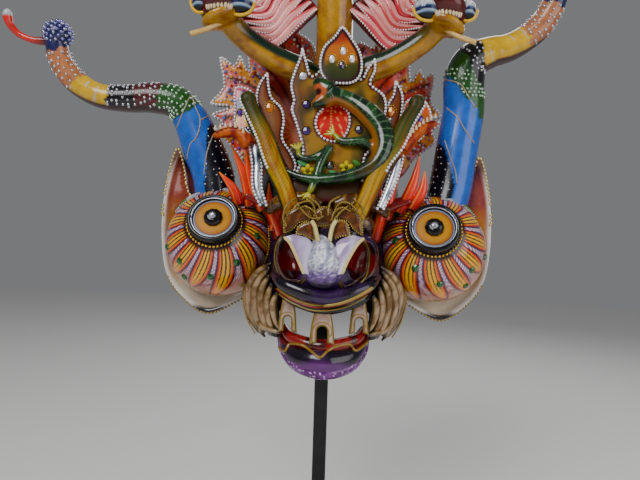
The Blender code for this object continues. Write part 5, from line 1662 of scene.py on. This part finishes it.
SPIKE_ROOT = [(-52, -28, 0, 6), (-64, -32, 34, 8), (-90, -34, 46, 6)]
TEETH = {
    "tooth_left": (-37, -78, -61, 19, 33), "tooth_centre": (-2, -86, -69, 26, 35),
    "tooth_right": (35, -78, -61, 20, 33),
}
TUSK_STATIONS = [
    (-30, 60, -55, 66, -42, 1.0), (-36, 60, -55, 68, -41, 2), (-50, 62, -57, 78, -36, 5), (-68, 62, -58, 82, -30, 6),
    (-84, 58, -59, 75, -34, 6), (-99, 52, -57, 63, -42, 3), (-104, 50, -56, 59, -45, 1.0),
]


def on_panel(rows):
    """Rows of x, lift, height and radius, moved on to the leaning plane."""
    return [(x, float(panel_y(z, lift)), z, radius) for x, lift, z, radius in rows]


def lizard():
    """Glossy dark green lizard with an ochre belly, open mouth and yellow-green claws."""
    body = tube(on_panel(LIZARD_BODY), 48, 16, 0.95)
    parts = [body[:2]] + [tube(on_panel(rows), 24, 12)[:2] for rows in LIZARD_LEGS]
    head = [(-2, 12, 158, 12), (-10, 13, 164, 9), (-17, 12, 170, 5)]
    jaw = [(-2, 10, 152, 10), (-12, 10, 146, 7), (-19, 10, 143, 4)]
    parts += [tube(on_panel(head), 28, 10)[:2], tube(on_panel(jaw), 28, 10)[:2]]
    points, faces = sculpted("lizard_form", parts, 1.4, 2)
    x, y, z = points.T
    path = np.array(curve(on_panel(LIZARD_BODY), 12))[:, :3]
    belly = near(points, path + (-7, -3, -7)[0:3])
    colour = mix(rgb(16, 58, 34), rgb(40, 96, 44), step(noise(points, 9, 2), 0.1, 0.6))
    scales = np.sin(x * 1.7 + z * 1.2) * np.sin(z * 1.9 - x * 1.1)
    colour = mix(colour, rgb(8, 30, 22), step(scales, 0.45, 0.3) * 0.8)
    colour = mix(colour, rgb(166, 112, 0), step(7.0 - belly, 0, 2.5) * step(z, 76, 20))
    mouth = np.hypot(x + 14, (z - 156) * 1.1)
    colour = mix(colour, rgb(206, 110, 60), step(9 - mouth, 0, 2))
    streaks = np.sin(np.arctan2(z - 108, x - 20) * 26 + 0.16 * np.hypot(x, z)) * (x > 0)
    colour = mix(colour, rgb(120, 150, 110), step(streaks, 0.86, 0.1) * step(belly, 9, 3) * 0.6)
    colour = mix(colour, rgb(60, 12, 16), step(3.6 - mouth, 0, 1.5))
    for rows in LIZARD_LEGS[1:]:
        end = np.array(on_panel(rows[-1:]))[0, :3]
        colour = mix(colour, rgb(150, 160, 40), step(9 - np.linalg.norm(points - end, axis=1), 0, 5))
    skin = make("lizard_skin", points, faces, colour, "smooth", "lizard_green", ("lizard",))
    claws = []
    for rows in LIZARD_LEGS[1:]:
        ends = np.array(on_panel(rows[-2:]))[:, :3]
        way = ends[1] - ends[0]
        way /= np.linalg.norm(way)
        across = np.cross(way, (0, 1, 0))
        for k in range(4):
            spread = (k - 1.5) / 1.5
            direction = way * 0.9 + across * spread * 0.8
            base = ends[1] - (0, 0.5, 0)
            claw = [(*base, 1.8), (*(base + direction * 5), 1.5), (*(base + direction * 9 + (0, -0.5, 0)), 0.5)]
            claws.append((*tube(claw, 10, 4)[:2], rgb(196, 186, 60)))
    make("lizard_claws", *joined(claws), "smooth", "lizard_green")
    eye_at = hit(surface(skin), *crop(RIGHT_CROP, [(275, 605)])[0])
    if eye_at:
        parts = [(*ellipsoid(eye_at[0], (4.2, 3.0, 4.2), (0, 0, 0), 20, 12), rgb(214, 190, 60)),
                 (*ellipsoid(eye_at[0] + (0, -2.0, 0), (2.0, 1.6, 2.4), (0, 0, 0), 14, 10), BLACK)]
        make("lizard_eye", *joined(parts), "black", "lizard_green")
    back = [p for p in path[20:-20:3]]
    ridge = even(path[8:-8], 3.4) + (3.0, -9.0, 5.5)
    return skin


def dragons():
    """Two ochre dragons with green and maroon edges, and the studded silver bands beside them."""
    for side in ("left", "right"):
        sign = -1 if side == "left" else 1
        neck, jaw = on_panel(DRAGON_NECKS[side]), on_panel(DRAGON_JAWS[side])
        parts = [tube(neck, 40, 16)[:2], tube(jaw, 28, 14)[:2]]
        tip = np.array(neck[-1][:3])
        parts.append(ellipsoid(tip + (0, -1, 3), (9, 8, 10), (0, sign * 0.4, 0), 28, 18))
        points, faces = sculpted("dragon", parts, 1.6, 2)
        x, y, z = points.T
        path = np.array(curve(neck, 10))[:, :3]
        colour = mix(rgb(196, 160, 0), rgb(176, 120, 0), step(noise(points, 14, 1), 0.2, 1.0))
        green = mix(rgb(16, 62, 44), rgb(120, 130, 6), step(110 - z, 0, 60))
        colour = mix(colour, green, step(z, 84 if side == "right" else 116, 30) * 0.9)
        inner_edge = near(points, path + (-sign * 9.5, 0, 0))
        outer_edge = near(points, path + (sign * 9.5, 0, 0))
        colour = mix(colour, rgb(84, 56, 6), step(6.0 - inner_edge, 0, 2.4) * step(z, 34, 30))
        grain = np.sin(1.1 * (x - np.interp(z, path[:, 2], path[:, 0])) + 1.5 * noise(points, 22, 4))
        colour = mix(colour, rgb(132, 84, 6), step(grain, 0.55, 0.5) * 0.6)
        colour = mix(colour, rgb(40, 84, 30), step(-grain, 0.6, 0.4) * step(z, 70, 50) * 0.6)
        colour = mix(colour, rgb(24, 66, 40) if side == "left" else rgb(92, 22, 22), step(6.0 - outer_edge, 0, 2))
        jaw_path = np.array(curve(jaw, 10))[:, :3]
        on_jaw = step(8.5 - near(points, jaw_path), 0, 1.5)
        jaw_colour = mix(rgb(196, 110, 6), rgb(150, 44, 6), step(noise(points, 7, 3), 0, 1))
        colour = mix(colour, jaw_colour, on_jaw)
        make("dragon_skin_" + side, points, faces, colour, "satin", "dragon_ochre", ("dragon_" + side,))
        target = surface(bpy.data.objects["dragon_skin_" + side])
        spots, shades = [], []
        for k, p in enumerate(even(np.vstack([path[18:], [tip + (sign * 1.5, 0, 7)]]), 3.9)):
            for shift in (sign * 7.6,):
                start = Vector(((p + (shift, -40, 0)) + (0, 0, EYE_LINE)) * MM)
                found = target.ray_cast(start, Vector((0, 1, 0)))
                if found[0] is not None:
                    spots.append(np.array(found[0]) / MM - (0, 0.5 - 0.1, EYE_LINE))
                    shades.append(PEARLS)
        beads("dragon_beads_" + side, spots, 1.7, PEARLS, slot="dragon_ochre")
        teeth = []
        for k, p in enumerate(even(jaw_path[6:-2], 5.0)):
            rows = [(*(p + (0, -5.5, 4.0)), 1.6), (*(p + (0, -6.0, 7.0)), 1.2), (*(p + (0, -6.2, 9.4)), 0.3)]
            teeth.append((*tube(rows, 8, 3)[:2], CREAM))
        make("dragon_teeth_" + side, *joined(teeth), "smooth", "dragon_ochre")
        band = on_panel(BANDS_SILVER[side])
        points, faces, share, around = tube(band, 36, 24)
        colour = mix(rgb(84, 88, 104), rgb(206, 208, 218), step(noise(points, 6, 2), 0, 1))
        make("band_paint_" + side, points, faces, colour, "metal", "band_silver", ("dragon_band_" + side,))
        target = surface(bpy.data.objects["band_paint_" + side])
        rows = curve(band, 24)
        spots = []
        for k, row in enumerate(even(rows, 3.9)):
            for turn in (-1.0, 0.9):
                offset = turn
                spots.append((row[0] + row[3] * math.sin(offset), row[1] - row[3] * math.cos(offset), row[2]))
        beads("band_studs_" + side, spots, 1.7, PEARLS, slot="band_silver")


def spikes():
    """Curved flame spikes in red and orange round the brow."""
    for side, pairs in SPIKES.items():
        sign = -1 if side == "left" else 1
        root = SPIKE_ROOT if side == "left" else mirrored(SPIKE_ROOT)
        parts, tones = [], []
        points, faces, share, around = tube(root, 24, 12)
        parts.append((points, faces, np.tile(rgb(150, 24, 16), (len(points), 1))))
        for n, ((x0, z0), (x1, z1)) in enumerate(pairs):
            bend = 4.0 * (-1) ** n
            middle = ((x0 + x1) / 2 + bend, SPIKE_Y - 3.0, (z0 + z1) / 2)
            rows = [(x0, SPIKE_Y, z0, 6.0), (*middle, 5.2), (x1, SPIKE_Y - 5.0, z1, 0.6)]
            points, faces, share, around = tube(rows, 24, 18, 0.75)
            colour = ramp(share, [(0, rgb(170, 26, 14)), (0.3, rgb(236, 60, 24)), (0.8, rgb(244, 84, 30)),
                                  (1, rgb(240, 150, 40))])
            ridge = np.abs(np.sin(around)) ** 6
            colour = mix(colour, rgb(240, 170, 70), step(np.cos(around * 3), 0.86, 0.1) * 0.7)
            parts.append((points, faces, colour))
        make("spikes_paint_" + side, *joined(parts), "smooth", "flame_red", ("flame_spikes_" + side,))


def teeth():
    """Arched teeth, pillowed, each with an olive-gold line round it."""
    for name, (x, front, top, width, height) in TEETH.items():
        half = width / 2
        leg = width * 0.3
        outline = [(x - half * 0.6, top), (x - half * 0.85, top - height * 0.45), (x - half, top - height),
                   (x - half + leg, top - height * 0.94)]
        for i in range(13):
            angle = math.pi * (1 - i / 12)
            outline.append((x + (half - leg) * math.cos(angle), top - height * 0.62 + half * 0.42 * math.sin(angle)))
        arch = np.array([(px, 0, pz) for px, pz in outline[3:]])
        outline += [(x + half - leg, top - height * 0.94), (x + half, top - height), (x + half * 0.85, top - height * 0.45),
                    (x + half * 0.6, top)]

        def flat(z):
            return np.full(len(np.atleast_1d(z)), front) if np.ndim(z) else front

        def paint(px, pz, d):
            points = np.column_stack([px, np.zeros(len(px)), pz])
            # Painted shade: darker round the rim
            colour = mix(rgb(176, 140, 124), rgb(220, 196, 184), step(d, 2.6, 3))
            colour = mix(colour, rgb(170, 140, 120), step(noise(points, 9, 2), 0.3, 0.6) * 0.5)
            # Painted shade: darker towards the top, under the gum
            colour = mix(colour, rgb(118, 84, 66), step(pz, top - height * 0.35, height * 0.4) * 0.6)
            colour = mix(colour, rgb(150, 128, 56), step(0.7 - np.abs(near(points, arch) - 4.4), 0, 0.5))
            return mix(colour, rgb(150, 128, 56), step(1.9 - d, 0, 0.5))

        relief(name + "_enamel", outline, flat, 6.6, 2.6, paint, "smooth", "tooth_bone", (name,), 0.9, 4.0, 0)


TUSK_STRANDS = [
    [(-57, -50, -26, 2), (-72, -40, -37, 4.6), (-81, -33, -54, 5.6), (-79, -34, -78, 5.6), (-69, -42, -97, 3),
     (-62, -50, -104, 1)],
    [(-58, -58, -30, 2), (-69, -50, -44, 4.6), (-74, -46, -60, 5.6), (-71, -48, -82, 5.2), (-62, -54, -99, 1.6)],
    [(-58, -62, -38, 1.8), (-64, -58, -50, 4.2), (-66, -56, -66, 4.8), (-62, -58, -86, 4.2), (-55, -62, -98, 1.2)],
    [(-55, -66, -46, 1.8), (-58, -64, -58, 4.2), (-59, -62, -70, 4.6), (-56, -62, -86, 3.8), (-50, -64, -96, 1.2)],
    [(-48, -74, -54, 1.8), (-52, -70, -64, 3.8), (-52, -68, -74, 4), (-49, -67, -86, 2.8), (-45, -67, -94, 1)],
    [(-74, -30, -34, 2), (-84, -24, -50, 4.2), (-86, -22, -68, 4.6), (-80, -28, -88, 3.8), (-70, -38, -102, 1)],
    [(-44, -70, -96, 1.4), (-54, -64, -94, 3), (-64, -56, -92, 3.6), (-74, -46, -84, 2.6), (-80, -38, -72, 1)],
]


def tusks():
    """Tapered strands curve down each cheek, bone on their ridges and olive gold in the grooves, with painted shade
    deepest in the grooves and in the gaps between strands.
    """
    for side in ("left", "right"):
        sign = -1 if side == "left" else 1
        parts = []
        for k, rows in enumerate(TUSK_STRANDS):
            rows = rows if side == "left" else mirrored(rows)
            sides = 20
            points, faces, along, around = tube(rows, sides, 10)
            centres = np.repeat(curve(rows, 10)[:, :3], sides, axis=0)
            out = points - centres
            out /= np.maximum(np.linalg.norm(out, axis=1), 1e-6)[:, None]
            ridge = -out[:, 1] + 0.25 * out[:, 0] * sign
            bone = mix(rgb(184, 158, 128), rgb(132, 102, 64), step(noise(points, 7, k), 0.1, 0.9))
            # Olive gold and bone are the strands' own paint; the dark on the sides that face away is painted shade in
            # the grooves
            colour = mix(rgb(44, 30, 10), rgb(132, 104, 24), step(ridge, 0.3, 0.35))
            colour = mix(colour, bone, step(ridge, 0.8, 0.16))
            colour = mix(colour, rgb(64, 44, 26), step(along, 0.9, 0.1) + step(0.08 - along, 0, 0.06))
            parts.append((points, faces, colour))
        # A dark core behind the strands: painted shade that shows in the gaps between them
        core = []
        for height, x0, y0, x1, y1, bulge in curve(TUSK_STATIONS, 4):
            a, b = np.array([x0, y0 + 4]), np.array([x1, y1 + 4])
            across = b - a
            forward = np.array([across[1], -across[0]])
            forward = forward / max(np.linalg.norm(forward), 1e-6)
            corners = [a, b, b - forward * 10, a - forward * 10]
            core.append(np.array([(sign * c[0], c[1], height) for c in corners]))
        parts.append((*loft(core), rgb(34, 18, 20)))
        make("tusk_strands_" + side, *joined(parts), "smooth", "tusk_bone", ("cheek_tusks_" + side,))
        rows = np.array(TUSK_STRANDS[5] if side == "left" else mirrored(TUSK_STRANDS[5]), float)
        chain = even(curve(rows, 8)[:, :3], 2.6) + (sign * 4.4, -2.0, 0)
        beads("tusk_beads_" + side, chain, 1.15, rgb(190, 156, 74), slot="tusk_bone")


# Camera, light and floor

def studio():
    """Pale floor and soft light; the camera stands where the photograph's stood."""
    bpy.ops.mesh.primitive_plane_add(size=6.0, location=(0, 0, 0))
    floor = bpy.context.active_object
    floor.name = "floor"
    material = bpy.data.materials.new("floor")
    material.use_nodes = True
    shader = material.node_tree.nodes["Principled BSDF"]
    shader.inputs["Base Color"].default_value = (0.88, 0.87, 0.85, 1)
    shader.inputs["Roughness"].default_value = 0.85
    floor.data.materials.append(material)
    world = bpy.data.worlds.new("soft_room")
    bpy.context.scene.world = world
    world.use_nodes = True
    world.node_tree.nodes["Background"].inputs["Color"].default_value = (0.86, 0.87, 0.9, 1)
    world.node_tree.nodes["Background"].inputs["Strength"].default_value = 0.22
    for name, place, size, power in (("key", (-0.7, -1.3, 1.5), 0.9, 23), ("fill", (1.1, -1.0, 0.7), 1.1, 9),
                                     ("rim", (0.5, 1.1, 1.4), 0.8, 8)):
        light = bpy.data.lights.new(name, "AREA")
        light.size = size
        light.energy = power
        lamp = bpy.data.objects.new(name, light)
        bpy.context.scene.collection.objects.link(lamp)
        lamp.location = place
        aim_at = Vector((0, 0, 0.42)) - Vector(place)
        lamp.rotation_euler = aim_at.to_track_quat("-Z", "Y").to_euler()
    camera = bpy.data.cameras.new("camera")
    camera.sensor_width = 36.0
    camera.lens = 36.0 * FOCAL / 640.0
    camera.dof.use_dof = False
    camera.clip_start = 0.01
    view = bpy.data.objects.new("camera", camera)
    bpy.context.scene.collection.objects.link(view)
    at = (CAMERA_AT + (0, 0, EYE_LINE)) * MM
    view.matrix_world = Matrix.Translation(at) @ Matrix.Rotation(math.pi / 2, 4, "X") @ Matrix.Rotation(ROLL, 4, "Z")
    bpy.context.scene.camera = view


def main():
    """Every piece from the face outwards, then the room."""
    stand()
    skin = face()
    lips()
    face_details(skin)
    for side in ("left", "right"):
        eye(side)
        ear(side)
        horn(side)
    ornament()
    blossoms()
    crests()
    lappets()
    crown()
    lizard()
    dragons()
    spikes()
    teeth()
    tusks()
    studio()


main()
